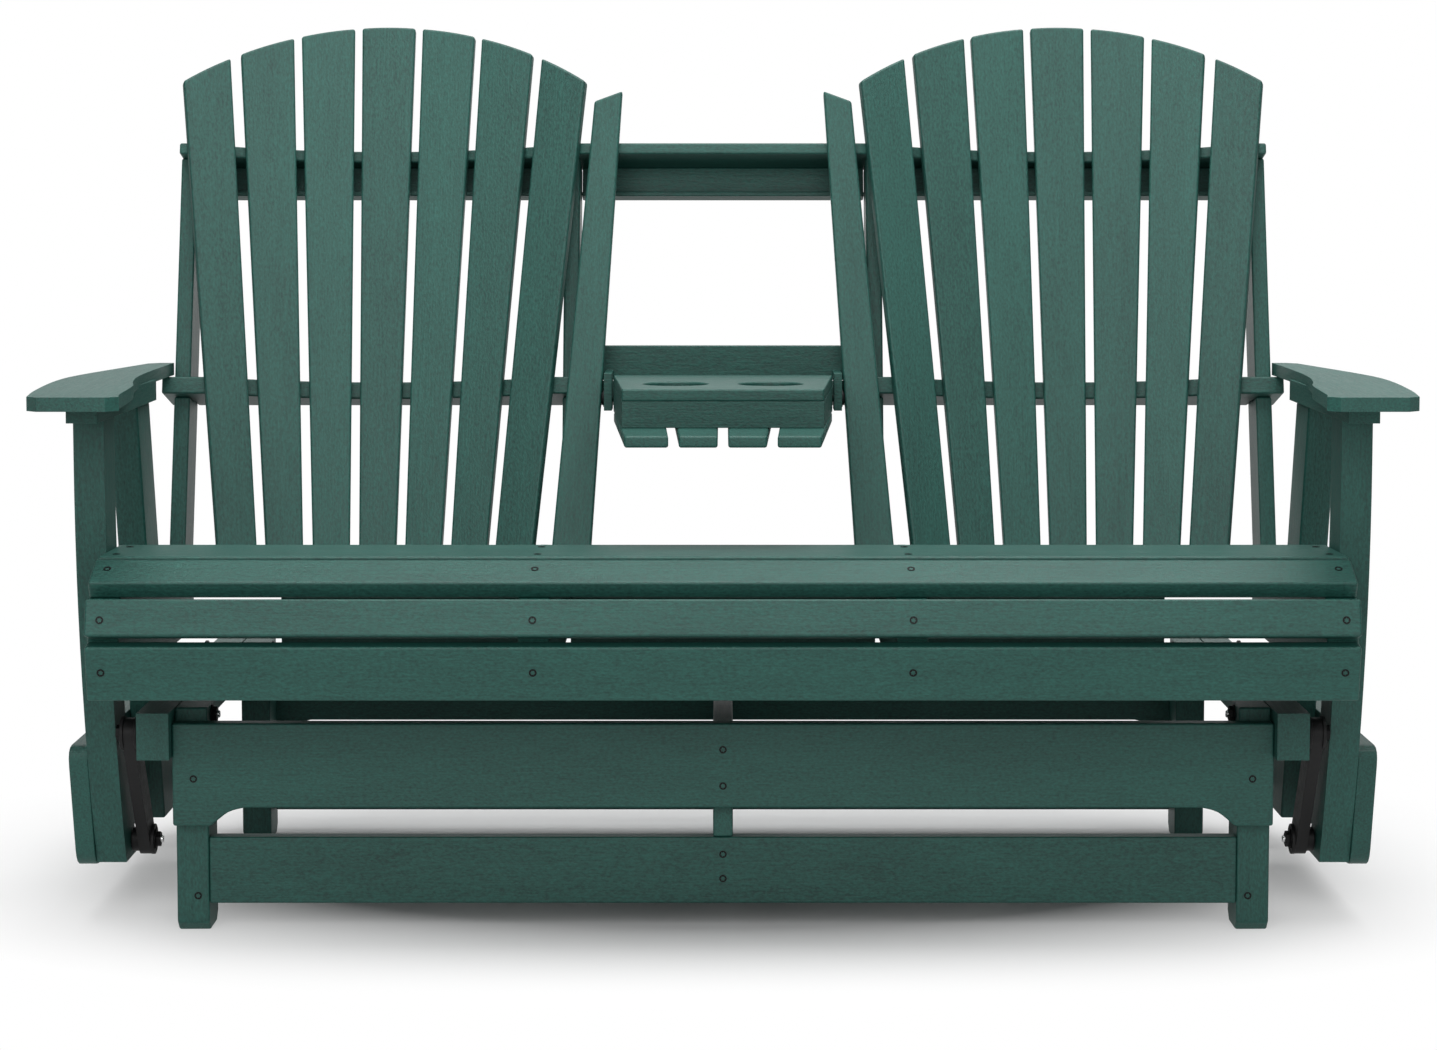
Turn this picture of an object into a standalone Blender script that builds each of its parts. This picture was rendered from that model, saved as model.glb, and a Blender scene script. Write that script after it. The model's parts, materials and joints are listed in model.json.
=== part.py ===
"""Double glider swing in recycled-plastic lumber, with a flip-down centre console.

Metres, +Z up, the sitter faces -Y.  Left means -X and right means +X.  The origin is the
centre of the whole object's footprint, on the ground.
"""

import math

import bmesh
import bpy
from mathutils import Matrix, Vector

# ---------------------------------------------------------------- overall sizes
DEPTH = 0.910
GAP = 0.0003
CIRCLE_SIDES = 24

# ---------------------------------------------------------------- base
BASE_HALF_LENGTH = 0.6897
BASE_HALF_DEPTH = 0.355
BASE_CENTRE_Y = DEPTH / 2 - BASE_HALF_DEPTH
SIDE_RAIL_THICKNESS = 0.0375
SIDE_RAIL_HEIGHT = 0.059
SIDE_RAIL_TOP = 0.286
SIDE_RAIL_OVERHANG = 0.020
LEG_THICKNESS = 0.041
LEG_DEPTH = 0.070
FOOT_CHAMFER = 0.012
APRON_THICKNESS = 0.0245
APRON_TOP = 0.270
APRON_END_BOTTOM = 0.140
APRON_MIDDLE_BOTTOM = 0.163
APRON_END_WIDTH = 0.048
APRON_SLOPE_WIDTH = 0.042
LOWER_RAIL_THICKNESS = 0.025
LOWER_RAIL_BOTTOM = 0.036
LOWER_RAIL_HEIGHT = 0.085
STRETCHER_THICKNESS = 0.025
STRETCHER_TOP = 0.265

# ---------------------------------------------------------------- hanging links
LINK_LENGTH = 0.186
LINK_SLANT = math.radians(33.0)
LINK_WIDTH = 0.038
LINK_THICKNESS = 0.015
LINK_SIDE_GAP = 0.005
UPPER_PIVOT_INSET = 0.031
STUD_RADIUS = 0.005
STUD_HOLE_RADIUS = 0.0057
SHOULDER_RADIUS = 0.009
OPEN_PIVOT_RADIUS = 0.0150

# ---------------------------------------------------------------- seat carriage
POST_INNER_X = BASE_HALF_LENGTH + 0.0723
POST_THICKNESS = 0.038
FRONT_POST_Y = -0.268
FRONT_POST_DEPTH = 0.067
FRONT_POST_SWEEP = 0.395
FRONT_POST_STRAIGHT_ABOVE = 0.600
POST_BOTTOM = 0.078
REAR_POST_TOP_Y = -0.043
REAR_POST_DEPTH = 0.088
REAR_POST_LEAN = 0.284
LOWER_BOARD_THICKNESS = 0.0245
LOWER_BOARD_BOTTOM = 0.073
LOWER_BOARD_HEIGHT = 0.162
LOWER_BOARD_OVERHANG = 0.090
LOWER_BOARD_RAKE = 0.045
LOWER_BOARD_CORNER = 0.026

# ---------------------------------------------------------------- arms
ARM_TOP = 0.694
RECLINE = math.radians(15.0)
BACK_SHIFT = (ARM_TOP - 0.694) * math.tan(RECLINE)
ARM_THICKNESS = 0.017
ARM_FRONT_Y = -DEPTH / 2
ARM_REAR_Y = 0.235 + BACK_SHIFT
ARM_CORNER = 0.014
CLEAT_INNER_X = POST_INNER_X - 0.005
CLEAT_WIDTH = 0.038
CLEAT_HEIGHT = 0.023
CLEAT_FRONT_Y = -0.335
CLEAT_REAR_Y = 0.070

# ---------------------------------------------------------------- seat
SEAT_HALF_LENGTH = POST_INNER_X - 0.0008
SEAT_BOARD_THICKNESS = 0.022
SEAT_START = (-0.403, 0.326)
SEAT_BOARDS = (
    ("seat_fascia", 0.068, 101.0, (-0.002, SEAT_BOARD_THICKNESS - 0.0082)),
    ("seat_nose_board", 0.045, 74.0,
     (SEAT_BOARD_THICKNESS - 0.0044, SEAT_BOARD_THICKNESS - 0.0049)),
    ("seat_board_1", 0.0546, 24.0, (SEAT_BOARD_THICKNESS - 0.0116, 0.0022)),
    ("seat_board_2", 0.145, -1.0, (0.0060, -0.0006)),
    ("seat_board_3", 0.145, -8.0, (0.0059, -0.0011)),
    ("seat_board_4", 0.142, -13.0, (0.0, 0.0)),
)
SEAT_SUPPORT_BOTTOM = 0.335
OUTER_SUPPORT_THICKNESS = 0.038
INNER_SUPPORT_X = 0.227
INNER_SUPPORT_THICKNESS = 0.038

# ---------------------------------------------------------------- back
BACK_FOOT = (0.147, 0.440)
FAN_CENTRE_X = POST_INNER_X - 0.288
FAN_SLATS = 7
SLAT_THICKNESS = 0.016
SLAT_PITCH_BOTTOM = 0.0635
SLAT_PITCH_TOP = 0.0868
SLAT_WIDTH_BOTTOM = 0.050
SLAT_WIDTH_TOP = 0.0755
END_SLAT_WIDTH_BOTTOM = 0.054
END_SLAT_WIDTH_TOP = 0.068
SLAT_START = -0.020
FAN_PEAK = 0.757
FAN_ARCH_RADIUS = 0.480
SAG_BOTTOM = 0.033
SAG_TOP = 0.0485
SAG_HALF_BOTTOM = 0.215
SAG_HALF_TOP = 0.290
INNER_SLAT_BOTTOM_X = 0.208
INNER_SLAT_TOP_X = 0.160
INNER_SLAT_WIDTH_BOTTOM = 0.054
INNER_SLAT_WIDTH_TOP = 0.038
INNER_SLAT_TOP = 0.642
INNER_SLAT_TOP_SLOPE = 0.38
RAIL_DEPTH = 0.089
RAIL_LAP = 0.053
UPPER_RAIL_BOTTOM = 0.5623
UPPER_RAIL_THICKNESS = 0.0162
UPPER_RAIL_HALF_LENGTH = POST_INNER_X - 0.002
MID_RAIL_THICKNESS = 0.024
MID_RAIL_HALF_LENGTH = POST_INNER_X + 0.012
MID_RAIL_SET_BACK = 0.026
BOTTOM_RAIL_BOTTOM = -0.025
BOTTOM_RAIL_THICKNESS = 0.022
UPRIGHT_FRONT = 0.021
UPRIGHT_THICKNESS = 0.022
OUTER_UPRIGHT_X = POST_INNER_X - 0.024
INNER_UPRIGHT_X = 0.200
UPRIGHT_START = -0.100

# ---------------------------------------------------------------- console
CONSOLE_HINGE = (0.190 + BACK_SHIFT, ARM_TOP - 0.046)
CONSOLE_FRONT_Y = -0.110
CONSOLE_REAR_Y = CONSOLE_HINGE[0] - 0.010
CONSOLE_HALF_FRONT = 0.1295
CONSOLE_HALF_REAR = 0.150
TABLE_THICKNESS = 0.0155
TABLE_TOP = ARM_TOP - 0.0135
CUP_RADIUS = 0.043
CUP_X = 0.0625
CUP_Y = -0.002
CONSOLE_FRAME_HEIGHT = 0.034
CONSOLE_FRAME_WALL = 0.018
CONSOLE_FRAME_REACH = 0.012
CONSOLE_SLATS = 4
CONSOLE_SLAT_GAP = 0.013
CONSOLE_SLAT_THICKNESS = 0.0147
CONSOLE_TIP_Y = -0.233
CONSOLE_TIP_HALF = 0.1228
CONSOLE_SLOT_END_Y = CONSOLE_HINGE[0] - 0.065
CONSOLE_SLAT_REAR_Y = CONSOLE_HINGE[0] - 0.020
HINGE_EAR_THICKNESS = 0.011
HINGE_EAR_GAP = 0.002
BRACKET_TOP = ARM_TOP + 0.0225
BRACKET_BOTTOM = ARM_TOP - 0.025
BRACKET_FRONT_Y = CONSOLE_HINGE[0] + 0.061
BRACKET_THICKNESS = 0.020

# ---------------------------------------------------------------- worked out from the above
SIDES = (("left", -1), ("right", 1))
SIDE_RAIL_INNER_X = BASE_HALF_LENGTH + 0.003
SIDE_RAIL_OUTER_X = SIDE_RAIL_INNER_X + SIDE_RAIL_THICKNESS
LINK_INNER_X = SIDE_RAIL_OUTER_X + LINK_SIDE_GAP
LINK_OUTER_X = LINK_INNER_X + LINK_THICKNESS
POST_OUTER_X = POST_INNER_X + POST_THICKNESS
LOWER_BOARD_INNER_X = POST_OUTER_X + GAP
LOWER_BOARD_OUTER_X = LOWER_BOARD_INNER_X + LOWER_BOARD_THICKNESS
PIVOT_HALF_SPAN = BASE_HALF_DEPTH - UPPER_PIVOT_INSET
UPPER_PIVOT_Z = SIDE_RAIL_TOP - SIDE_RAIL_HEIGHT / 2
LOWER_PIVOT_Z = UPPER_PIVOT_Z - LINK_LENGTH * math.cos(LINK_SLANT)
LOWER_HALF_SPAN = PIVOT_HALF_SPAN - LINK_LENGTH * math.sin(LINK_SLANT)
ARM_UNDERSIDE = ARM_TOP - ARM_THICKNESS
POST_TOP = ARM_UNDERSIDE - CLEAT_HEIGHT - GAP
MID_RAIL_TOP = (ARM_UNDERSIDE - GAP - BACK_FOOT[1]) / math.cos(RECLINE)
MID_RAIL_BOTTOM = MID_RAIL_TOP - MID_RAIL_THICKNESS
FRAME_TOP = TABLE_TOP - TABLE_THICKNESS - GAP
FRAME_BOTTOM = FRAME_TOP - CONSOLE_FRAME_HEIGHT
CONSOLE_SLAT_TOP = FRAME_BOTTOM - GAP
HINGE_EAR_X = CONSOLE_HALF_REAR + HINGE_EAR_GAP

# outline planes: which world directions an outline's two numbers and its thickness follow
ALONG_X = Matrix(((0, 0, 1), (1, 0, 0), (0, 1, 0))).to_4x4()
ALONG_Y = Matrix(((1, 0, 0), (0, 0, -1), (0, 1, 0))).to_4x4()
ALONG_Z = Matrix.Identity(4)


# ================================================================ scene and materials
def clear_scene():
    for item in list(bpy.data.objects):
        bpy.data.objects.remove(item, do_unlink=True)


def make_collection(name):
    collection = bpy.data.collections.new(name)
    bpy.context.scene.collection.children.link(collection)
    return collection


def make_material(name, colour, roughness, metallic):
    material = bpy.data.materials.new(name)
    material.use_nodes = True
    shader = material.node_tree.nodes["Principled BSDF"]
    shader.inputs["Base Color"].default_value = (*colour, 1.0)
    shader.inputs["Roughness"].default_value = roughness
    shader.inputs["Metallic"].default_value = metallic
    return material


def lumber(name):
    return make_material(name + "_green_lumber", (0.022, 0.075, 0.062), 0.55, 0.0)


def black_steel(name):
    return make_material(name + "_black_steel", (0.012, 0.012, 0.013), 0.45, 0.6)


def make_empty(name, place, parts):
    empty = bpy.data.objects.new(name, None)
    empty.location = place
    parts.objects.link(empty)
    return empty


def hang_on(piece, parent):
    """Parents a piece without moving it."""
    piece.parent = parent
    piece.matrix_parent_inverse = Matrix.Translation(parent.location).inverted()


# ================================================================ outlines
def circle(centre, radius):
    step = 2 * math.pi / CIRCLE_SIDES
    return [
        (centre[0] + radius * math.cos(step * i), centre[1] + radius * math.sin(step * i))
        for i in range(CIRCLE_SIDES)
    ]


def rectangle(low, high):
    return [(low[0], low[1]), (high[0], low[1]), (high[0], high[1]), (low[0], high[1])]


def mirrored(outline, side):
    return [(side * x, y) for x, y in outline]


def rounded(outline, radius, steps=3):
    """Replaces every corner of an outline with a short arc-like curve."""
    result = []
    count = len(outline)
    for i in range(count):
        corner = Vector(outline[i])
        before = (Vector(outline[i - 1]) - corner).normalized() * radius
        after = (Vector(outline[(i + 1) % count]) - corner).normalized() * radius
        for k in range(steps + 1):
            t = k / steps
            point = corner + before * (1 - t) ** 2 + after * t**2
            result.append((point.x, point.y))
    return result


def smooth_through(points, steps):
    """A smooth curve through the points, ends included."""
    padded = [points[0], *points, points[-1]]
    result = []
    for i in range(len(points) - 1):
        a, b, c, d = (Vector(p) for p in padded[i : i + 4])
        for k in range(steps):
            t = k / steps
            point = 0.5 * (
                2 * b + (c - a) * t + (2 * a - 5 * b + 4 * c - d) * t**2
                + (3 * b - a - 3 * c + d) * t**3
            )
            result.append((point.x, point.y))
    result.append(tuple(points[-1]))
    return result


# ================================================================ making solids
def plate(name, outline, span, plane, material, parts, holes=(), frame=None):
    """A flat outline with its holes, given a thickness from span[0] to span[1]."""
    curve = bpy.data.curves.new(name, "CURVE")
    curve.dimensions = "2D"
    curve.fill_mode = "BOTH"
    curve.extrude = abs(span[1] - span[0]) / 2
    for ring in (outline, *holes):
        spline = curve.splines.new("POLY")
        spline.points.add(len(ring) - 1)
        for point, place in zip(spline.points, ring):
            point.co = (place[0], place[1], 0.0, 1.0)
        spline.use_cyclic_u = True
    curve.materials.append(material)
    piece = bpy.data.objects.new(name, curve)
    middle = (span[0] + span[1]) / 2
    lift = Matrix.Translation(plane.to_3x3() @ Vector((0, 0, middle)))
    if plane is ALONG_Y:
        lift = Matrix.Translation(Vector((0, middle, 0)))
    piece.matrix_world = (frame or Matrix.Identity(4)) @ lift @ plane
    parts.objects.link(piece)
    return piece


def as_mesh(piece, parts):
    """Swaps a curve object for a welded mesh object of the same name and place."""
    bpy.context.view_layer.update()
    seen = piece.evaluated_get(bpy.context.evaluated_depsgraph_get())
    mesh = bpy.data.meshes.new_from_object(seen)
    shell = bmesh.new()
    shell.from_mesh(mesh)
    bmesh.ops.remove_doubles(shell, verts=shell.verts, dist=0.00001)
    shell.to_mesh(mesh)
    shell.free()
    name = piece.name
    place = piece.matrix_world.copy()
    bpy.data.objects.remove(piece, do_unlink=True)
    solid = bpy.data.objects.new(name, mesh)
    solid.matrix_world = place
    parts.objects.link(solid)
    return solid


def rod(name, start_x, end_x, centre, radius, cutters):
    """A cylinder along X, kept as a tool for joining."""
    shell = bmesh.new()
    turn = Matrix.Rotation(math.pi / 2, 4, "Y")
    middle = Matrix.Translation(((start_x + end_x) / 2, centre[0], centre[1]))
    bmesh.ops.create_cone(
        shell, cap_ends=True, segments=CIRCLE_SIDES, radius1=radius, radius2=radius,
        depth=abs(end_x - start_x), matrix=middle @ turn,
    )
    mesh = bpy.data.meshes.new(name)
    shell.to_mesh(mesh)
    shell.free()
    tool = bpy.data.objects.new(name, mesh)
    tool.hide_render = True
    tool.display_type = "WIRE"
    cutters.objects.link(tool)
    return tool


def join(piece, tool):
    modifier = piece.modifiers.new("join_" + tool.name, "BOOLEAN")
    modifier.operation = "UNION"
    modifier.solver = "EXACT"
    modifier.object = tool


def as_tool(piece, parts, cutters):
    solid = as_mesh(piece, parts)
    solid.hide_render = True
    solid.display_type = "WIRE"
    parts.objects.unlink(solid)
    cutters.objects.link(solid)
    return solid


# ================================================================ base
def apron_outline():
    end = BASE_HALF_LENGTH
    shoulder = end - APRON_END_WIDTH
    arch = shoulder - APRON_SLOPE_WIDTH
    half = smooth_through(
        [(shoulder, APRON_END_BOTTOM), ((shoulder + arch) / 2, APRON_MIDDLE_BOTTOM - 0.006),
         (arch, APRON_MIDDLE_BOTTOM)], 4)
    right = [(end, APRON_TOP), (end, APRON_END_BOTTOM), *half]
    left = [(-x, z) for x, z in reversed(right)]
    return right + left


def build_aprons(parts, base):
    back_of_front = BASE_CENTRE_Y - BASE_HALF_DEPTH + SIDE_RAIL_OVERHANG
    spans = (
        ("front", (back_of_front, back_of_front + APRON_THICKNESS)),
        ("rear", (2 * BASE_CENTRE_Y - back_of_front - APRON_THICKNESS,
                  2 * BASE_CENTRE_Y - back_of_front)),
    )
    for end, span in spans:
        piece = plate("base_apron_" + end, apron_outline(), span, ALONG_Y,
                      lumber("base_apron_" + end), parts)
        hang_on(piece, base)


def leg_front_face():
    return BASE_CENTRE_Y - BASE_HALF_DEPTH + SIDE_RAIL_OVERHANG + APRON_THICKNESS + GAP


def build_legs(parts, base):
    near = leg_front_face()
    c = FOOT_CHAMFER
    outline = [(near + c, 0), (near + LEG_DEPTH - c, 0), (near + LEG_DEPTH, c),
               (near + LEG_DEPTH, SIDE_RAIL_TOP), (near, SIDE_RAIL_TOP), (near, c)]
    for side_name, side in SIDES:
        for end in ("front", "rear"):
            ring = outline
            if end == "rear":
                ring = [(2 * BASE_CENTRE_Y - y, z) for y, z in outline]
            outer = side * BASE_HALF_LENGTH
            span = sorted((outer, outer - side * LEG_THICKNESS))
            name = f"base_leg_{end}_{side_name}"
            hang_on(plate(name, ring, span, ALONG_X, lumber(name), parts), base)


def build_lower_rails(parts, base):
    half = BASE_HALF_LENGTH - LEG_THICKNESS - GAP
    near = leg_front_face()
    far = 2 * BASE_CENTRE_Y - near
    ring = rectangle((-half, LOWER_RAIL_BOTTOM), (half, LOWER_RAIL_BOTTOM + LOWER_RAIL_HEIGHT))
    for end, span in (("front", (near, near + LOWER_RAIL_THICKNESS)),
                      ("rear", (far - LOWER_RAIL_THICKNESS, far))):
        name = "base_lower_rail_" + end
        hang_on(plate(name, ring, span, ALONG_Y, lumber(name), parts), base)


def build_side_rails(parts, base):
    low = (BASE_CENTRE_Y - BASE_HALF_DEPTH, SIDE_RAIL_TOP - SIDE_RAIL_HEIGHT)
    high = (BASE_CENTRE_Y + BASE_HALF_DEPTH, SIDE_RAIL_TOP)
    holes = [
        circle((BASE_CENTRE_Y + end * PIVOT_HALF_SPAN, UPPER_PIVOT_Z), STUD_HOLE_RADIUS)
        for end in (-1, 1)
    ]
    for side_name, side in SIDES:
        span = sorted((side * (BASE_HALF_LENGTH + GAP), side * SIDE_RAIL_OUTER_X))
        name = "base_side_rail_" + side_name
        piece = plate(name, rectangle(low, high), span, ALONG_X, lumber(name), parts, holes)
        hang_on(piece, base)


def build_stretcher(parts, base):
    upper = leg_front_face() + GAP
    lower = leg_front_face() + LOWER_RAIL_THICKNESS + GAP
    step = LOWER_RAIL_BOTTOM + LOWER_RAIL_HEIGHT + GAP
    front = [(lower, LOWER_RAIL_BOTTOM), (lower, step), (upper, step), (upper, STRETCHER_TOP)]
    rear = [(2 * BASE_CENTRE_Y - y, z) for y, z in reversed(front)]
    half = STRETCHER_THICKNESS / 2
    piece = plate("base_stretcher", front + rear, (-half, half), ALONG_X,
                  lumber("base_stretcher"), parts)
    hang_on(piece, base)


# ================================================================ links
def link_ends(end):
    """Upper and lower pivots of the front (-1) or rear (1) links, as (y, z)."""
    upper = (BASE_CENTRE_Y + end * PIVOT_HALF_SPAN, UPPER_PIVOT_Z)
    lower = (BASE_CENTRE_Y + end * LOWER_HALF_SPAN, LOWER_PIVOT_Z)
    return upper, lower


def link_outline(upper, lower):
    """A bar with round ends about its two pivots."""
    away = math.atan2(upper[1] - lower[1], upper[0] - lower[0])
    half_turn = CIRCLE_SIDES // 2
    ring = []
    for centre, start in ((upper, away - math.pi / 2), (lower, away + math.pi / 2)):
        for i in range(half_turn + 1):
            angle = start + math.pi * i / half_turn
            ring.append((centre[0] + LINK_WIDTH / 2 * math.cos(angle),
                         centre[1] + LINK_WIDTH / 2 * math.sin(angle)))
    return ring


def build_link(end_name, end, side_name, side, parts, cutters):
    upper, lower = link_ends(end)
    name = f"link_{end_name}_{side_name}"
    span = sorted((side * LINK_INNER_X, side * LINK_OUTER_X))
    steel = black_steel(name)
    piece = as_mesh(plate(name, link_outline(upper, lower), span, ALONG_X, steel, parts), parts)
    middle = side * (LINK_INNER_X + LINK_OUTER_X) / 2
    held_by = POST_INNER_X if end < 0 else LOWER_BOARD_INNER_X
    rods = (
        ("upper_shoulder", side * (SIDE_RAIL_OUTER_X + GAP), upper, SHOULDER_RADIUS),
        ("upper_stud", side * (SIDE_RAIL_INNER_X - 0.001), upper, STUD_RADIUS),
        ("lower_shoulder", side * (held_by - GAP), lower, SHOULDER_RADIUS),
        ("lower_stud", side * (LOWER_BOARD_OUTER_X - 0.002), lower, STUD_RADIUS),
    )
    for rod_name, reach, centre, radius in rods:
        join(piece, rod(f"{name}_{rod_name}", middle, reach, centre, radius, cutters))
    pivot = make_empty(name + "_pivot", (side * SIDE_RAIL_OUTER_X, *upper), parts)
    hang_on(piece, pivot)


def build_links(parts, cutters):
    for end_name, end in (("front", -1), ("rear", 1)):
        for side_name, side in SIDES:
            build_link(end_name, end, side_name, side, parts, cutters)


# ================================================================ carriage sides
def front_post_edge(z):
    drop = max(0.0, FRONT_POST_STRAIGHT_ABOVE - z)
    return FRONT_POST_Y + FRONT_POST_SWEEP * drop**2


def front_post_outline():
    steps = 12
    front = []
    rear = []
    for i in range(steps + 1):
        z = POST_TOP + (POST_BOTTOM - POST_TOP) * i / steps
        drop = max(0.0, FRONT_POST_STRAIGHT_ABOVE - z)
        slope = 2 * FRONT_POST_SWEEP * drop
        front.append((front_post_edge(z), z))
        rear.append((front_post_edge(z) + FRONT_POST_DEPTH * math.hypot(1, slope), z))
    return front + rear[::-1]


def rear_post_outline():
    drop = POST_TOP - POST_BOTTOM
    top = REAR_POST_TOP_Y
    low = top + REAR_POST_LEAN * drop
    return [(top, POST_TOP), (low, POST_BOTTOM), (low + REAR_POST_DEPTH, POST_BOTTOM),
            (top + REAR_POST_DEPTH, POST_TOP)]


def lower_board_outline():
    near = BASE_CENTRE_Y - LOWER_HALF_SPAN - LOWER_BOARD_OVERHANG
    far = BASE_CENTRE_Y + LOWER_HALF_SPAN + LOWER_BOARD_OVERHANG
    top = LOWER_BOARD_BOTTOM + LOWER_BOARD_HEIGHT
    corners = [(near, top), (near + LOWER_BOARD_RAKE, LOWER_BOARD_BOTTOM),
               (far - LOWER_BOARD_RAKE, LOWER_BOARD_BOTTOM), (far, top)]
    return rounded(corners, LOWER_BOARD_CORNER, 4)


def build_carriage_sides(parts, swing):
    front_pivot = link_ends(-1)[1]
    rear_pivot = link_ends(1)[1]
    front_hole = circle(front_pivot, STUD_HOLE_RADIUS)
    open_hole = circle(rear_pivot, OPEN_PIVOT_RADIUS)
    for side_name, side in SIDES:
        post_span = sorted((side * POST_INNER_X, side * POST_OUTER_X))
        board_span = sorted((side * LOWER_BOARD_INNER_X, side * LOWER_BOARD_OUTER_X))
        pieces = (
            ("post_front_", front_post_outline(), post_span, [front_hole]),
            ("post_rear_", rear_post_outline(), post_span, []),
            ("lower_side_board_", lower_board_outline(), board_span, [front_hole, open_hole]),
        )
        for kind, ring, span, holes in pieces:
            name = kind + side_name
            hang_on(plate(name, ring, span, ALONG_X, lumber(name), parts, holes), swing)


# ================================================================ arms
def arm_outline():
    outer = smooth_through(
        [(0.8190, ARM_FRONT_Y + ARM_CORNER), (0.8330, -0.330), (0.8450, -0.150),
         (0.8370, -0.020), (0.7950, ARM_REAR_Y - ARM_CORNER)], 5)
    inner = smooth_through(
        [(0.7612, ARM_REAR_Y), (0.7612, 0.060), (0.7560, -0.070), (0.7440, -0.168),
         (0.7290, -0.250), (0.7170, -0.400), (0.7100, ARM_FRONT_Y + ARM_CORNER)], 4)
    front = [(0.7100 + ARM_CORNER, ARM_FRONT_Y), (0.8190 - ARM_CORNER, ARM_FRONT_Y)]
    ring = front + outer + [(0.7950 - ARM_CORNER, ARM_REAR_Y)] + inner
    return [(x + POST_INNER_X - 0.762, y) for x, y in ring]


def build_arms(parts, cutters, swing):
    cleat_low = (CLEAT_INNER_X, CLEAT_FRONT_Y)
    cleat_high = (CLEAT_INNER_X + CLEAT_WIDTH, CLEAT_REAR_Y)
    for side_name, side in SIDES:
        name = "arm_" + side_name
        arm = as_mesh(plate(name, mirrored(arm_outline(), side), (ARM_UNDERSIDE, ARM_TOP),
                            ALONG_Z, lumber(name), parts), parts)
        cleat = plate(name + "_cleat", mirrored(rectangle(cleat_low, cleat_high), side),
                      (ARM_UNDERSIDE - CLEAT_HEIGHT, ARM_UNDERSIDE + ARM_THICKNESS / 4),
                      ALONG_Z, lumber(name + "_cleat"), parts)
        join(arm, as_tool(cleat, parts, cutters))
        hang_on(arm, swing)


# ================================================================ seat
def seat_sections():
    """Each seat board as (name, outer start, outer end, inward direction), in (y, z)."""
    start = Vector(SEAT_START)
    sections = []
    for name, width, angle, step in SEAT_BOARDS:
        along = Vector((math.cos(math.radians(angle)), math.sin(math.radians(angle))))
        inward = Vector((along.y, -along.x))
        end = start + along * width
        sections.append((name, start, end, inward))
        start = end + Vector(step)
    return sections


def build_seat_boards(parts, swing):
    half = SEAT_HALF_LENGTH
    for name, start, end, inward in seat_sections():
        under = inward * SEAT_BOARD_THICKNESS
        ring = [tuple(p) for p in (start, end, end + under, start + under)]
        hang_on(plate(name, ring, (-half, half), ALONG_X, lumber(name), parts), swing)


def support_outline():
    """Follows the underside of the boards from the fascia back to the uprights."""
    ring = []
    offset = SEAT_BOARD_THICKNESS + GAP
    for _, start, end, inward in seat_sections():
        ring.append(start + inward * offset)
        ring.append(end + inward * offset)
    first, second = ring[0], ring[1]
    share = (SEAT_SUPPORT_BOTTOM - first.y) / (second.y - first.y)
    ring[0] = first + (second - first) * share
    last_slope = (ring[-1] - ring[-2]).normalized()
    reach = UPRIGHT_FRONT - GAP
    behind = back_y_at(reach, ring[-1].y) - ring[-1].x
    ring.append(ring[-1] + last_slope * behind * 0.9)
    ring.append(Vector((back_y_at(reach, ring[-1].y) - GAP, ring[-1].y)))
    ring.append(Vector((back_y_at(reach, SEAT_SUPPORT_BOTTOM) - GAP, SEAT_SUPPORT_BOTTOM)))
    return [tuple(p) for p in ring]


def build_seat_supports(parts, swing):
    outer = POST_INNER_X - GAP
    inner_low = INNER_SUPPORT_X - INNER_SUPPORT_THICKNESS / 2
    inner_high = INNER_SUPPORT_X + INNER_SUPPORT_THICKNESS / 2
    places = (("outer", (outer - OUTER_SUPPORT_THICKNESS, outer)),
              ("inner", (inner_low, inner_high)))
    for side_name, side in SIDES:
        for kind, limits in places:
            name = f"seat_support_{kind}_{side_name}"
            span = sorted(side * x for x in limits)
            piece = plate(name, support_outline(), span, ALONG_X, lumber(name), parts)
            hang_on(piece, swing)


# ================================================================ back
# The back is drawn in its own frame: x across, depth behind the slats, height up the slope.
def back_frame():
    foot = Matrix.Translation((0.0, BACK_FOOT[0], BACK_FOOT[1]))
    return foot @ Matrix.Rotation(-RECLINE, 4, "X")


def back_y_at(depth, z):
    """World y of the plane at this depth behind the slats, where it is at height z."""
    height = (z - BACK_FOOT[1] + depth * math.sin(RECLINE)) / math.cos(RECLINE)
    return BACK_FOOT[0] + height * math.sin(RECLINE) + depth * math.cos(RECLINE)


class Slat:
    """A tapered board of the back: where it stands, how it leans and how it is cut."""

    def __init__(self, name, low, high, widths, slope):
        self.name = name
        self.foot = Vector(low)
        self.axis = (Vector(high) - self.foot).normalized()
        across = Vector((1.0, slope, 0.0))
        self.across = (across - self.axis * across.dot(self.axis)).normalized()
        self.length = (Vector(high) - self.foot).length
        self.widths = widths

    def width(self, along):
        share = along / self.length
        return self.widths[0] + (self.widths[1] - self.widths[0]) * share

    def edge_x(self, height, side):
        along = (height - self.foot.z) / self.axis.z
        edge = self.foot + self.axis * along + self.across * side * self.width(along) / 2
        return edge.x

    def depth_at(self, x, height):
        """Depth of the plane of its back face at this place."""
        normal = self.across.cross(self.axis)
        rest = normal.x * (x - self.foot.x) + normal.z * (height - self.foot.z)
        return self.foot.y - rest / normal.y

    def matrix(self):
        front = self.across.cross(self.axis)
        turn = Matrix((self.across, self.axis, front)).transposed().to_4x4()
        return Matrix.Translation(self.foot) @ turn

    def outline(self, cut):
        """cut gives the height at which the top ends, for a place x across the back."""
        steps = 6
        top = []
        for i in range(steps + 1):
            u = self.width(self.length) * (0.5 - i / steps)
            along = self.length
            for _ in range(3):
                x = self.foot.x + self.axis.x * along + self.across.x * u
                along = (cut(x) - self.foot.z - self.across.z * u) / self.axis.z
            top.append((u, along))
        half = self.widths[0] / 2
        return [(-half, 0.0), (half, 0.0), *top]


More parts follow.
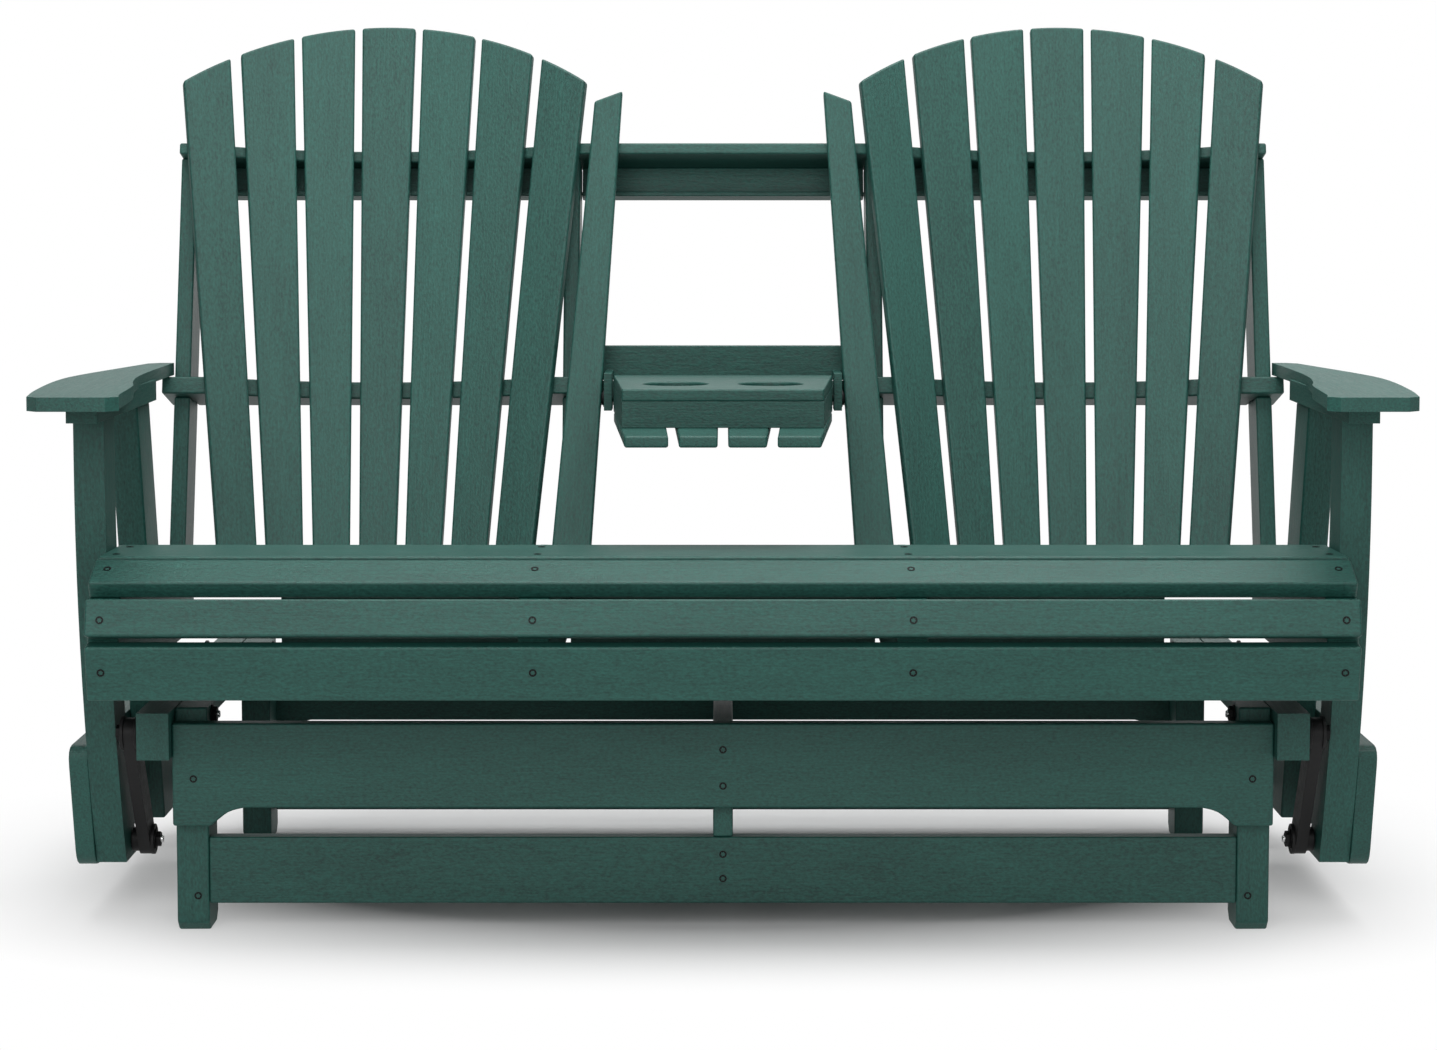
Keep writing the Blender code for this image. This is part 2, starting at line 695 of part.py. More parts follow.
def sag(x, share):
    """Depth and slope of the curved back at x from the middle of a fan."""
    deep = SAG_BOTTOM + (SAG_TOP - SAG_BOTTOM) * share
    half = SAG_HALF_BOTTOM + (SAG_HALF_TOP - SAG_HALF_BOTTOM) * share
    return deep * (1 - (x / half) ** 2), -2 * deep * x / half**2


def fan_slats(side_name, side):
    slats = []
    middle = (FAN_SLATS - 1) / 2
    for i in range(FAN_SLATS):
        step = i - middle
        is_end = abs(step) == middle
        low_x = step * SLAT_PITCH_BOTTOM
        high_x = step * SLAT_PITCH_TOP
        low_depth, low_slope = sag(low_x, 0.0)
        high_depth, high_slope = sag(high_x, 1.0)
        widths = (SLAT_WIDTH_BOTTOM, SLAT_WIDTH_TOP)
        if is_end:
            widths = (END_SLAT_WIDTH_BOTTOM, END_SLAT_WIDTH_TOP)
        centre = side * FAN_CENTRE_X
        slats.append(Slat(
            f"back_slat_{side_name}_{i + 1}", (centre + low_x, low_depth, SLAT_START),
            (centre + high_x, high_depth, FAN_PEAK), widths, (low_slope + high_slope) / 2))
    return slats


def inner_slat(side_name, side):
    return Slat("back_inner_slat_" + side_name, (side * INNER_SLAT_BOTTOM_X, 0, SLAT_START),
                (side * INNER_SLAT_TOP_X, 0, INNER_SLAT_TOP),
                (INNER_SLAT_WIDTH_BOTTOM, INNER_SLAT_WIDTH_TOP), 0.0)


def all_slats():
    left = fan_slats("left", -1) + [inner_slat("left", -1)]
    return left + [inner_slat("right", 1)] + fan_slats("right", 1)


def arch_cut(centre):
    def cut(x):
        away = x - centre
        return FAN_PEAK - FAN_ARCH_RADIUS + math.sqrt(FAN_ARCH_RADIUS**2 - away**2)
    return cut


def inner_cut(side):
    def cut(x):
        return INNER_SLAT_TOP + (INNER_SLAT_TOP_X - side * x) * INNER_SLAT_TOP_SLOPE
    return cut


def build_slats(parts, swing):
    frame = back_frame()
    cuts = [(slat, arch_cut(-FAN_CENTRE_X)) for slat in fan_slats("left", -1)]
    cuts += [(slat, arch_cut(FAN_CENTRE_X)) for slat in fan_slats("right", 1)]
    cuts += [(inner_slat(side_name, side), inner_cut(side)) for side_name, side in SIDES]
    for slat, cut in cuts:
        piece = plate(slat.name, slat.outline(cut), (0, SLAT_THICKNESS), ALONG_Z,
                      lumber(slat.name), parts, frame=frame @ slat.matrix())
        hang_on(piece, swing)


def rail_front_edge(bottom, top, half, set_back):
    """Touches the back of every slat; set_back holds the middle clear of the console."""
    ring = [(-half, GAP)]
    middle = (bottom + top) / 2
    for slat in all_slats():
        if slat.name == "back_inner_slat_right" and set_back:
            clear = INNER_UPRIGHT_X - GAP
            ring += [(-clear, set_back), (clear, set_back)]
        for side in (-1, 1):
            x = slat.edge_x(middle, side)
            if abs(x) < half:
                if set_back and abs(x) < INNER_UPRIGHT_X:
                    x = math.copysign(INNER_UPRIGHT_X - GAP, x)
                ring.append((x, max(slat.depth_at(x, h) for h in (bottom, top)) + GAP))
    ring.append((half, GAP))
    return ring


def rail_outline(bottom, thickness, half, uprights=(), set_back=0.0):
    front = rail_front_edge(bottom, bottom + thickness, half, set_back)
    rear = [(half, RAIL_DEPTH)]
    slots = sorted([(side * x, side * (x + UPRIGHT_THICKNESS)) for x in uprights
                    for side in (-1, 1)], reverse=True)
    for slot in slots:
        low, high = min(slot) - GAP, max(slot) + GAP
        rear += [(high, RAIL_DEPTH), (high, RAIL_LAP), (low, RAIL_LAP), (low, RAIL_DEPTH)]
    rear.append((-half, RAIL_DEPTH))
    return front + rear


def build_rails(parts, swing):
    bottom_half = OUTER_UPRIGHT_X - GAP
    both = (OUTER_UPRIGHT_X, INNER_UPRIGHT_X)
    rails = (
        ("back_rail_upper", UPPER_RAIL_BOTTOM, UPPER_RAIL_THICKNESS,
         rail_outline(UPPER_RAIL_BOTTOM, UPPER_RAIL_THICKNESS, UPPER_RAIL_HALF_LENGTH)),
        ("back_rail_middle", MID_RAIL_BOTTOM, MID_RAIL_THICKNESS,
         rail_outline(MID_RAIL_BOTTOM, MID_RAIL_THICKNESS, MID_RAIL_HALF_LENGTH, both,
                      MID_RAIL_SET_BACK)),
        ("back_rail_bottom", BOTTOM_RAIL_BOTTOM, BOTTOM_RAIL_THICKNESS,
         rail_outline(BOTTOM_RAIL_BOTTOM, BOTTOM_RAIL_THICKNESS, bottom_half,
                      (INNER_UPRIGHT_X,))),
    )
    for name, low, thickness, ring in rails:
        piece = plate(name, ring, (low, low + thickness), ALONG_Z, lumber(name), parts,
                      frame=back_frame())
        hang_on(piece, swing)


def upright_outline(notches):
    """Depth and height of an upright, notched from the front where rails cross it."""
    top = UPPER_RAIL_BOTTOM - GAP
    ring = [(RAIL_DEPTH, UPRIGHT_START), (RAIL_DEPTH, top), (UPRIGHT_FRONT, top)]
    for low, high in notches:
        ring += [(UPRIGHT_FRONT, high + GAP), (RAIL_LAP + GAP, high + GAP),
                 (RAIL_LAP + GAP, low - GAP), (UPRIGHT_FRONT, low - GAP)]
    ring.append((UPRIGHT_FRONT, UPRIGHT_START))
    return ring


def build_uprights(parts, swing):
    middle = (MID_RAIL_BOTTOM, MID_RAIL_TOP)
    bottom = (BOTTOM_RAIL_BOTTOM, BOTTOM_RAIL_BOTTOM + BOTTOM_RAIL_THICKNESS)
    kinds = (("outer", OUTER_UPRIGHT_X, (middle,)), ("inner", INNER_UPRIGHT_X, (middle, bottom)))
    for side_name, side in SIDES:
        for kind, x, notches in kinds:
            name = f"back_upright_{kind}_{side_name}"
            span = sorted((side * x, side * (x + UPRIGHT_THICKNESS)))
            piece = plate(name, upright_outline(notches), span, ALONG_X, lumber(name), parts,
                          frame=back_frame())
            hang_on(piece, swing)


# ================================================================ console
def console_half(y):
    """Half the console's width at y: it narrows towards the sitter."""
    share = (y - CONSOLE_FRONT_Y) / (CONSOLE_REAR_Y - CONSOLE_FRONT_Y)
    return CONSOLE_HALF_FRONT + (CONSOLE_HALF_REAR - CONSOLE_HALF_FRONT) * share


def build_table(parts, hinge):
    ring = [(-CONSOLE_HALF_FRONT, CONSOLE_FRONT_Y), (CONSOLE_HALF_FRONT, CONSOLE_FRONT_Y),
            (CONSOLE_HALF_REAR, CONSOLE_REAR_Y), (-CONSOLE_HALF_REAR, CONSOLE_REAR_Y)]
    holes = [circle((side * CUP_X, CUP_Y), CUP_RADIUS) for side in (-1, 1)]
    piece = plate("console_table", ring, (TABLE_TOP - TABLE_THICKNESS, TABLE_TOP), ALONG_Z,
                  lumber("console_table"), parts, holes)
    hang_on(piece, hinge)


def build_console_frame(parts, cutters, hinge):
    """A front board and two cheeks, with the hinge studs at the cheeks' ends."""
    wall = CONSOLE_FRAME_WALL
    end = CONSOLE_HINGE[0] + CONSOLE_FRAME_REACH
    outer = CONSOLE_HALF_REAR
    outside = [(CONSOLE_HALF_FRONT, CONSOLE_FRONT_Y), (outer, CONSOLE_REAR_Y), (outer, end)]
    inside = [(outer - wall, end), (outer - wall, CONSOLE_REAR_Y),
              (CONSOLE_HALF_FRONT - wall, CONSOLE_FRONT_Y + wall)]
    right = outside + inside
    left = [(-x, y) for x, y in reversed(right)]
    piece = as_mesh(plate("console_frame", right + left, (FRAME_BOTTOM, FRAME_TOP), ALONG_Z,
                          lumber("console_frame"), parts), parts)
    for side_name, side in SIDES:
        stud = rod("console_stud_" + side_name, side * (outer - wall / 2),
                   side * (HINGE_EAR_X + HINGE_EAR_THICKNESS - GAP), CONSOLE_HINGE,
                   STUD_RADIUS, cutters)
        join(piece, stud)
    hang_on(piece, hinge)


def comb_half(y):
    share = (y - CONSOLE_TIP_Y) / (CONSOLE_SLAT_REAR_Y - CONSOLE_TIP_Y)
    return CONSOLE_TIP_HALF + (console_half(CONSOLE_SLAT_REAR_Y) - CONSOLE_TIP_HALF) * share


def build_console_slats(parts, hinge):
    """Four slats that meet behind, seen as the middle of the back when flipped up."""
    tip, end, rear = CONSOLE_TIP_Y, CONSOLE_SLOT_END_Y, CONSOLE_SLAT_REAR_Y
    half_gap = CONSOLE_SLAT_GAP / 2
    ring = [(-comb_half(rear), rear), (-comb_half(tip), tip)]
    for i in range(1, CONSOLE_SLATS):
        share = 2 * i / CONSOLE_SLATS - 1
        near = share * comb_half(tip)
        far = share * comb_half(end)
        ring += [(near - half_gap, tip), (far - half_gap, end), (far + half_gap, end),
                 (near + half_gap, tip)]
    ring += [(comb_half(tip), tip), (comb_half(rear), rear)]
    piece = plate("console_slats", ring,
                  (CONSOLE_SLAT_TOP - CONSOLE_SLAT_THICKNESS, CONSOLE_SLAT_TOP), ALONG_Z,
                  lumber("console_slats"), parts)
    hang_on(piece, hinge)


def build_bracket(parts, cutters, swing):
    """The fixed board behind the console, with an ear at each end for its hinge."""
    low = CONSOLE_HINGE[1] - 0.016
    high = CONSOLE_HINGE[1] + 0.035
    front = CONSOLE_HINGE[0] - 0.018
    neck = CONSOLE_HINGE[0] + 0.0285
    half = INNER_UPRIGHT_X - GAP
    inside = BRACKET_FRONT_Y + BRACKET_THICKNESS / 4
    board = as_mesh(plate("console_bracket", rectangle((-half, BRACKET_BOTTOM),
                                                       (half, BRACKET_TOP)),
                          (BRACKET_FRONT_Y, BRACKET_FRONT_Y + BRACKET_THICKNESS), ALONG_Y,
                          lumber("console_bracket"), parts), parts)
    shelf = BRACKET_BOTTOM + 0.003
    ear = [(front, low), (neck, low), (neck, shelf), (inside, shelf), (inside, high),
           (front, high)]
    for side_name, side in SIDES:
        span = sorted((side * HINGE_EAR_X, side * (HINGE_EAR_X + HINGE_EAR_THICKNESS)))
        tool = plate("console_ear_" + side_name, ear, span, ALONG_X,
                     lumber("console_ear_" + side_name), parts,
                     [circle(CONSOLE_HINGE, STUD_HOLE_RADIUS)])
        join(board, as_tool(tool, parts, cutters))
    hang_on(board, swing)


# ================================================================ the whole object
def main():
    clear_scene()
    parts = make_collection("glider_swing")
    cutters = make_collection("joining_tools")
    base = make_empty("base_origin", (0.0, BASE_CENTRE_Y, 0.0), parts)
    swing = make_empty("swing_pivot", (-POST_INNER_X, *link_ends(-1)[1]), parts)
    hinge = make_empty("console_hinge", (0.0, *CONSOLE_HINGE), parts)
    build_aprons(parts, base)
    build_legs(parts, base)
    build_lower_rails(parts, base)
    build_side_rails(parts, base)
    build_stretcher(parts, base)
    build_links(parts, cutters)
    build_carriage_sides(parts, swing)
    build_arms(parts, cutters, swing)
    build_seat_boards(parts, swing)
    build_seat_supports(parts, swing)
    build_slats(parts, swing)
    build_rails(parts, swing)
    build_uprights(parts, swing)
    build_table(parts, hinge)
    build_console_frame(parts, cutters, hinge)
    build_console_slats(parts, hinge)
    build_bracket(parts, cutters, swing)


if __name__ == "__main__":
    main()
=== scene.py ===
"""Looks of a double glider swing with a flip-up console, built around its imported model.

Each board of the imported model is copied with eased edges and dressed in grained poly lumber.
The screws, bolts, nuts, washers, bearing caps, the strip under the top rail and the braces under
the bench are modelled here.
"""

import json
import logging
import math
from dataclasses import dataclass
from enum import Enum
from typing import Callable, Iterable

import bpy
from mathutils import Matrix, Vector
from mathutils.bvhtree import BVHTree

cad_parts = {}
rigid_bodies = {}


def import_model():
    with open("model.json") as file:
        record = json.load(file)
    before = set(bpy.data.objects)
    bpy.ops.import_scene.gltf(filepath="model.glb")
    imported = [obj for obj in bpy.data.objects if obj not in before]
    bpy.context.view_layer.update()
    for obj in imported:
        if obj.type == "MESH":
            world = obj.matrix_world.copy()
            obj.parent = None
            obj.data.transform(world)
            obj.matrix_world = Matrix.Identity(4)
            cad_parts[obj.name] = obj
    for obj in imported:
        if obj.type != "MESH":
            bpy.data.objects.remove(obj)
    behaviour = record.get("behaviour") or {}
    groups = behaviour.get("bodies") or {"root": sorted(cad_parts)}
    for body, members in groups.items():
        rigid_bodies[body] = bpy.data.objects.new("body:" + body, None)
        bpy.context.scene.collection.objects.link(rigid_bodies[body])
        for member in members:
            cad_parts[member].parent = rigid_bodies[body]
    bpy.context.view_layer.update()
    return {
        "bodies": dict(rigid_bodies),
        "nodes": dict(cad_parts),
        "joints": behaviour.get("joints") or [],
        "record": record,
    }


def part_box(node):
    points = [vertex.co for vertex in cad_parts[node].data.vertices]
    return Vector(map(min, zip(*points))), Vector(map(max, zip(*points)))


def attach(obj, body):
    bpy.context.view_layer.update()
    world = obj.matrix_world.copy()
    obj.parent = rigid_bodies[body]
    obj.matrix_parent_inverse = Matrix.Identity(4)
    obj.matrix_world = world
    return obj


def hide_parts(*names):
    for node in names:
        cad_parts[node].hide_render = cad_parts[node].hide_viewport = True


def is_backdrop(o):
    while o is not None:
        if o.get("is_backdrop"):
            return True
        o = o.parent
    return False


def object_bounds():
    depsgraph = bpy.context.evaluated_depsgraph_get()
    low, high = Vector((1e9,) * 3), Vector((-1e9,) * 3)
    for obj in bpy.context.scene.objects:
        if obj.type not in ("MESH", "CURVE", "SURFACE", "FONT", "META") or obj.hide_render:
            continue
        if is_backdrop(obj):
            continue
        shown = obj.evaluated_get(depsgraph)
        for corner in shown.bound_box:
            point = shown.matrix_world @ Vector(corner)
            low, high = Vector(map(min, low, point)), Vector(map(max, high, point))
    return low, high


LOG = logging.getLogger("glider")
SIDES = (("left", -1), ("right", 1))
ENDS = (("front", -1), ("rear", 1))
EASE_SEGMENTS = 3
EASE_ANGLE = 28.0
SHADE_ANGLE = 35.0
CLEAR_OF_ENDS = 1.0
CLEAR_OF_SIDES = 1.2

Colour = tuple[float, float, float]


class Grain(Enum):
    """The direction that a board's grain runs in."""

    ACROSS = (1.0, 0.0, 0.0)
    FORE_AND_AFT = (0.0, 1.0, 0.0)
    UPRIGHT = (0.0, 0.0, 1.0)
    LONGEST_EDGE = (0.0, 0.0, 0.0)


class Slot(Enum):
    """The record's material slots."""

    LUMBER = "green_lumber"
    BLACK = "black_steel"
    FASTENER = "fasteners"
    BRIGHT = "bright_steel"


# ---------------------------------------------------------------- shader graphs
class Field:
    """A number that changes over a surface, held as a node's output, with arithmetic."""

    def __init__(self, graph: "Graph", socket: bpy.types.NodeSocket) -> None:
        """Keeps the output and the graph that it belongs to."""
        self.graph = graph
        self.socket = socket

    def _with(self, operation: str, first: object, second: object) -> "Field":
        """Adds one Math node.

        Args:
            operation: The Math node's operation.
            first: A number or a field.
            second: A number or a field.

        Returns:
            The node's output as a field.
        """
        made = self.graph.node("ShaderNodeMath", {"operation": operation}, {0: first, 1: second})
        return Field(self.graph, made.outputs[0])

    def __add__(self, other: object) -> "Field":
        """Sum."""
        return self._with("ADD", self, other)

    def __radd__(self, other: object) -> "Field":
        """Sum, from the right."""
        return self._with("ADD", other, self)

    def __sub__(self, other: object) -> "Field":
        """Difference."""
        return self._with("SUBTRACT", self, other)

    def __rsub__(self, other: object) -> "Field":
        """Difference, from the right."""
        return self._with("SUBTRACT", other, self)

    def __mul__(self, other: object) -> "Field":
        """Product."""
        return self._with("MULTIPLY", self, other)

    def __rmul__(self, other: object) -> "Field":
        """Product, from the right."""
        return self._with("MULTIPLY", other, self)

    def __truediv__(self, other: object) -> "Field":
        """Quotient."""
        return self._with("DIVIDE", self, other)

    def __rtruediv__(self, other: object) -> "Field":
        """Quotient, from the right."""
        return self._with("DIVIDE", other, self)

    def between(self, low: float, high: float) -> "Field":
        """Maps low to 0 and high to 1, with no value outside them.

        Args:
            low: The value that becomes 0.
            high: The value that becomes 1.

        Returns:
            The mapped field.
        """
        made = self.graph.node("ShaderNodeMapRange", {"clamp": True},
                               {"Value": self, "From Min": low, "From Max": high})
        return Field(self.graph, made.outputs[0])


class Graph:
    """The node graph of one new material."""

    def __init__(self, name: str) -> None:
        """Makes the material with its Principled shader."""
        self.material = bpy.data.materials.new(name)
        self.material.use_nodes = True
        self.tree = self.material.node_tree
        self.shader = self.tree.nodes["Principled BSDF"]

    def node(self, kind: str, settings: dict, inputs: dict) -> bpy.types.Node:
        """Adds a node.

        Args:
            kind: The node's type.
            settings: Its own properties, set before anything is linked.
            inputs: Numbers, colours or fields for its sockets.

        Returns:
            The new node.
        """
        made = self.tree.nodes.new(kind)
        for key, value in settings.items():
            setattr(made, key, value)
        for key, value in inputs.items():
            self.feed(made.inputs[key], value)
        return made

    def feed(self, socket: bpy.types.NodeSocket, value: object) -> None:
        """Links a field to a socket, or sets a constant on it."""
        if isinstance(value, Field):
            self.tree.links.new(value.socket, socket)
        else:
            socket.default_value = value

    def place(self, along: Vector, shift: Vector) -> Field:
        """Object coordinates turned so that their first axis runs along a board.

        Args:
            along: The direction of the grain.
            shift: How far the pattern is moved, so that no two boards match.

        Returns:
            The turned coordinates.
        """
        turn = along.to_track_quat("X", "Z").to_matrix().transposed().to_euler()
        source = self.node("ShaderNodeTexCoord", {}, {})
        made = self.node("ShaderNodeMapping", {}, {"Rotation": turn, "Location": shift})
        self.tree.links.new(source.outputs["Object"], made.inputs["Vector"])
        return Field(self, made.outputs["Vector"])

    def noise(self, place: Field, pitch: tuple[float, float, float], detail: float) -> Field:
        """Noise whose lumps are this many metres long along each axis.

        Args:
            place: The coordinates.
            pitch: The size of a lump along and across the board.
            detail: How many finer layers are added.

        Returns:
            The noise, from 0 to 1.
        """
        scale = tuple(1.0 / size for size in pitch)
        spread = self.node("ShaderNodeVectorMath", {"operation": "MULTIPLY"}, {0: place, 1: scale})
        made = self.node("ShaderNodeTexNoise", {},
                         {"Vector": Field(self, spread.outputs[0]), "Scale": 1.0,
                          "Detail": detail, "Roughness": 0.6})
        return Field(self, made.outputs[0])

    def blend(self, share: Field, low: Colour, high: Colour) -> Field:
        """A colour between two others.

        Args:
            share: 0 for the first colour, 1 for the second.
            low: The first colour.
            high: The second colour.

        Returns:
            The colour.
        """
        made = self.node("ShaderNodeMix", {"data_type": "RGBA"},
                         {0: share, 6: (*low, 1.0), 7: (*high, 1.0)})
        return Field(self, made.outputs[2])

    def relief(self, height: Field, depth: float, strength: float) -> None:
        """Raises the surface by a height field.

        Args:
            height: The height, from 0 to 1.
            depth: What a height of 1 stands for, in metres.
            strength: How much of it shows.
        """
        made = self.node("ShaderNodeBump", {}, {"Height": height, "Distance": depth,
                                                "Strength": strength})
        self.feed(self.shader.inputs["Normal"], Field(self, made.outputs[0]))


# ---------------------------------------------------------------- finishes
@dataclass(frozen=True)
class LumberFinish:
    """Solid-colour recycled poly lumber with an embossed, brushed skin."""

    deep: Colour = (0.0010, 0.0200, 0.0160)
    pale: Colour = (0.0120, 0.0820, 0.0650)
    fleck: tuple[float, float, float] = (0.0052, 0.0026, 0.0026)
    brush: tuple[float, float, float] = (0.0420, 0.0024, 0.0024)
    cloud: tuple[float, float, float] = (0.2200, 0.0380, 0.0380)
    fleck_share: float = 0.54
    brush_share: float = 0.18
    cloud_share: float = 0.18
    pale_share: float = 0.05
    skin_depth: float = 0.00045
    skin_strength: float = 0.55
    roughness: float = 0.47
    specular: float = 0.36

    def material(self, name: str, along: Vector, tone: float) -> bpy.types.Material:
        """Makes the finish of one board.

        Args:
            name: The material's name.
            along: The direction of the board's grain.
            tone: Lightens the board above 0 and darkens it below.

        Returns:
            The material.
        """
        graph = Graph(name)
        shift = Vector((tone * 37.0, tone * 91.0, tone * 53.0))
        place = graph.place(along, shift)
        fleck = graph.noise(place, self.fleck, 2.0).between(0.30, 0.70)
        brush = graph.noise(place, self.brush, 3.0).between(0.30, 0.70)
        cloud = graph.noise(place, self.cloud, 2.0).between(0.25, 0.75)
        share = (fleck * self.fleck_share + brush * self.brush_share
                 + cloud * self.cloud_share + (self.pale_share + tone))
        graph.feed(graph.shader.inputs["Base Color"], graph.blend(share, self.deep, self.pale))
        graph.feed(graph.shader.inputs["Specular IOR Level"], self.specular)
        gloss = self.roughness + fleck * 0.10 + (1.0 - brush) * 0.06
        graph.feed(graph.shader.inputs["Roughness"], gloss)
        graph.relief(fleck * 0.6 + brush * 0.4, self.skin_depth, self.skin_strength)
        return graph.material


@dataclass(frozen=True)
class SteelFinish:
    """Coated or plated steel, with a fine skin and slight wear."""

    name: str
    deep: Colour
    pale: Colour
    metallic: float
    roughness: float
    skin: float
    skin_depth: float
    skin_strength: float
    specular: float

    def material(self) -> bpy.types.Material:
        """Makes the finish.

        Returns:
            The material.
        """
        graph = Graph(self.name)
        place = graph.place(Vector((1.0, 0.0, 0.0)), Vector((0.0, 0.0, 0.0)))
        skin = graph.noise(place, (self.skin, self.skin, self.skin), 2.0).between(0.3, 0.7)
        wear = graph.noise(place, (0.011, 0.011, 0.011), 3.0).between(0.35, 0.75)
        graph.feed(graph.shader.inputs["Base Color"],
                   graph.blend(skin * 0.45 + wear * 0.55, self.deep, self.pale))
        graph.feed(graph.shader.inputs["Metallic"], self.metallic)
        graph.feed(graph.shader.inputs["Specular IOR Level"], self.specular)
        graph.feed(graph.shader.inputs["Roughness"], self.roughness + wear * 0.12 - skin * 0.05)
        graph.relief(skin, self.skin_depth, self.skin_strength)
        return graph.material


POWDER_COAT = SteelFinish(
    name="powder_coat", deep=(0.0022, 0.0023, 0.0026), pale=(0.0060, 0.0061, 0.0065),
    metallic=0.0, roughness=0.50, skin=0.0011, skin_depth=0.00012, skin_strength=0.45,
    specular=0.22)
BLACK_OXIDE = SteelFinish(
    name="black_oxide", deep=(0.0012, 0.0013, 0.0015), pale=(0.0050, 0.0051, 0.0055),
    metallic=0.0, roughness=0.50, skin=0.0006, skin_depth=0.00005, skin_strength=0.35,
    specular=0.16)
ZINC_PLATE = SteelFinish(
    name="zinc_plate", deep=(0.52, 0.53, 0.54), pale=(0.74, 0.74, 0.73),
    metallic=1.0, roughness=0.27, skin=0.0009, skin_depth=0.00004, skin_strength=0.30,
    specular=0.50)


@dataclass(frozen=True)
class FloorFinish:
    """A plain pale studio floor that runs out into the white surroundings."""

    deep: Colour = (0.66, 0.66, 0.66)
    pale: Colour = (0.70, 0.70, 0.70)
    pool: tuple[float, float, float] = (1.20, 0.80, 1.0)
    pool_centre: tuple[float, float, float] = (0.0, 0.25, 0.0)
    fade_start: float = 0.55
    fade_end: float = 1.05

    def material(self) -> bpy.types.Material:
        """Makes the finish.

        Returns:
            The material.
        """
        graph = Graph("pale_floor")
        place = graph.place(Vector((1.0, 0.0, 0.0)), -Vector(self.pool_centre))
        cloud = graph.noise(place, (0.6, 0.6, 0.6), 2.0)
        graph.feed(graph.shader.inputs["Base Color"], graph.blend(cloud, self.deep, self.pale))
        graph.feed(graph.shader.inputs["Roughness"], 0.9)
        graph.feed(graph.shader.inputs["Specular IOR Level"], 0.1)
        oval = graph.node("ShaderNodeVectorMath", {"operation": "DIVIDE"}, {0: place, 1: self.pool})
        length = graph.node("ShaderNodeVectorMath", {"operation": "LENGTH"},
                            {0: Field(graph, oval.outputs[0])})
        share = Field(graph, length.outputs["Value"]).between(self.fade_start, self.fade_end)
        glow = graph.node("ShaderNodeEmission", {}, {"Strength": 1.0})
        mixed = graph.node("ShaderNodeMixShader", {}, {0: share})
        output = graph.tree.nodes["Material Output"]
        graph.tree.links.new(graph.shader.outputs[0], mixed.inputs[1])
        graph.tree.links.new(glow.outputs[0], mixed.inputs[2])
        graph.tree.links.new(mixed.outputs[0], output.inputs["Surface"])
        return graph.material


# ---------------------------------------------------------------- mesh work by hand
def only(piece: bpy.types.Object) -> None:
    """Selects one object and nothing else."""
    if bpy.context.object is not None and bpy.context.object.mode != "OBJECT":
        bpy.ops.object.mode_set(mode="OBJECT")
    bpy.ops.object.select_all(action="DESELECT")
    piece.select_set(True)
    bpy.context.view_layer.objects.active = piece


def pick(piece: bpy.types.Object, test: Callable[[bpy.types.MeshPolygon], bool]) -> None:
    """Enters edit mode with only some faces selected.

    Args:
        piece: The object to edit.
        test: Says whether a face is selected.
    """
    only(piece)
    bpy.ops.object.mode_set(mode="EDIT")
    bpy.ops.mesh.select_mode(type="FACE")
    bpy.ops.mesh.select_all(action="DESELECT")
    bpy.ops.object.mode_set(mode="OBJECT")
    for face in piece.data.polygons:
        face.select = test(face)
    bpy.ops.object.mode_set(mode="EDIT")


def faces_up(face: bpy.types.MeshPolygon) -> bool:
    """Whether a face looks straight up."""
    return face.normal.z > 0.99


def apply_bevel(piece: bpy.types.Object, width: float, segments: int, angle: float) -> None:
    """Rounds the sharp edges of a piece for good.

    Args:
        piece: The object.
        width: The width of the rounding, in metres.
        segments: How many strips it has.
        angle: Edges that turn by more than this many degrees are rounded.
    """
    only(piece)
    bevel = piece.modifiers.new("eased", "BEVEL")
    bevel.width = width
    bevel.segments = segments
    bevel.limit_method = "ANGLE"
    bevel.angle_limit = math.radians(angle)
    bevel.miter_outer = "MITER_ARC"
    bpy.ops.object.modifier_apply(modifier=bevel.name)


def smooth(piece: bpy.types.Object, angle: float) -> None:
    """Shades a piece smoothly, with its broad faces kept flat.

    Args:
        piece: The object.
        angle: Edges that turn by more than this many degrees stay crisp.
    """
    only(piece)
    bpy.ops.object.shade_smooth_by_angle(angle=math.radians(angle))
    even = piece.modifiers.new("even", "WEIGHTED_NORMAL")
    even.keep_sharp = True
    bpy.ops.object.modifier_apply(modifier=even.name)


def ease_board(piece: bpy.types.Object, ease: float) -> None:
    """Rounds a board's edges and shades it, with its broad faces kept flat.

    Args:
        piece: The board.
        ease: The radius of its edges, in metres.
    """
    apply_bevel(piece, ease, EASE_SEGMENTS, EASE_ANGLE)
    smooth(piece, SHADE_ANGLE)


def cylinder(name: str, sides: int, radius: float, low: float, high: float) -> bpy.types.Object:
    """A round blank about the Z axis, to be shaped further.

    Args:
        name: The object's name.
        sides: How many sides it has.
        radius: Its radius.
        low: Its lower end.
        high: Its upper end.

    Returns:
        The blank, with its place in its mesh.
    """
    bpy.ops.object.select_all(action="DESELECT")
    bpy.ops.mesh.primitive_cylinder_add(vertices=sides, radius=radius, depth=high - low,
                                        location=(0.0, 0.0, (low + high) / 2))
    return settled(name)


def block(name: str, low: Vector, high: Vector) -> bpy.types.Object:
    """A squared blank between two corners, to be shaped further.

    Args:
        name: The object's name.
        low: Its lowest corner.
        high: Its highest corner.

    Returns:
        The blank, with its place in its mesh.
    """
    bpy.ops.object.select_all(action="DESELECT")
    bpy.ops.mesh.primitive_cube_add(size=1.0, location=(low + high) / 2)
    bpy.context.object.scale = high - low
    return settled(name)


def settled(name: str) -> bpy.types.Object:
    """Names the new object and moves its place and size into its mesh."""
    piece = bpy.context.object
    piece.name = name
    piece.data.name = name
    bpy.ops.object.transform_apply(location=True, rotation=True, scale=True)
    return piece


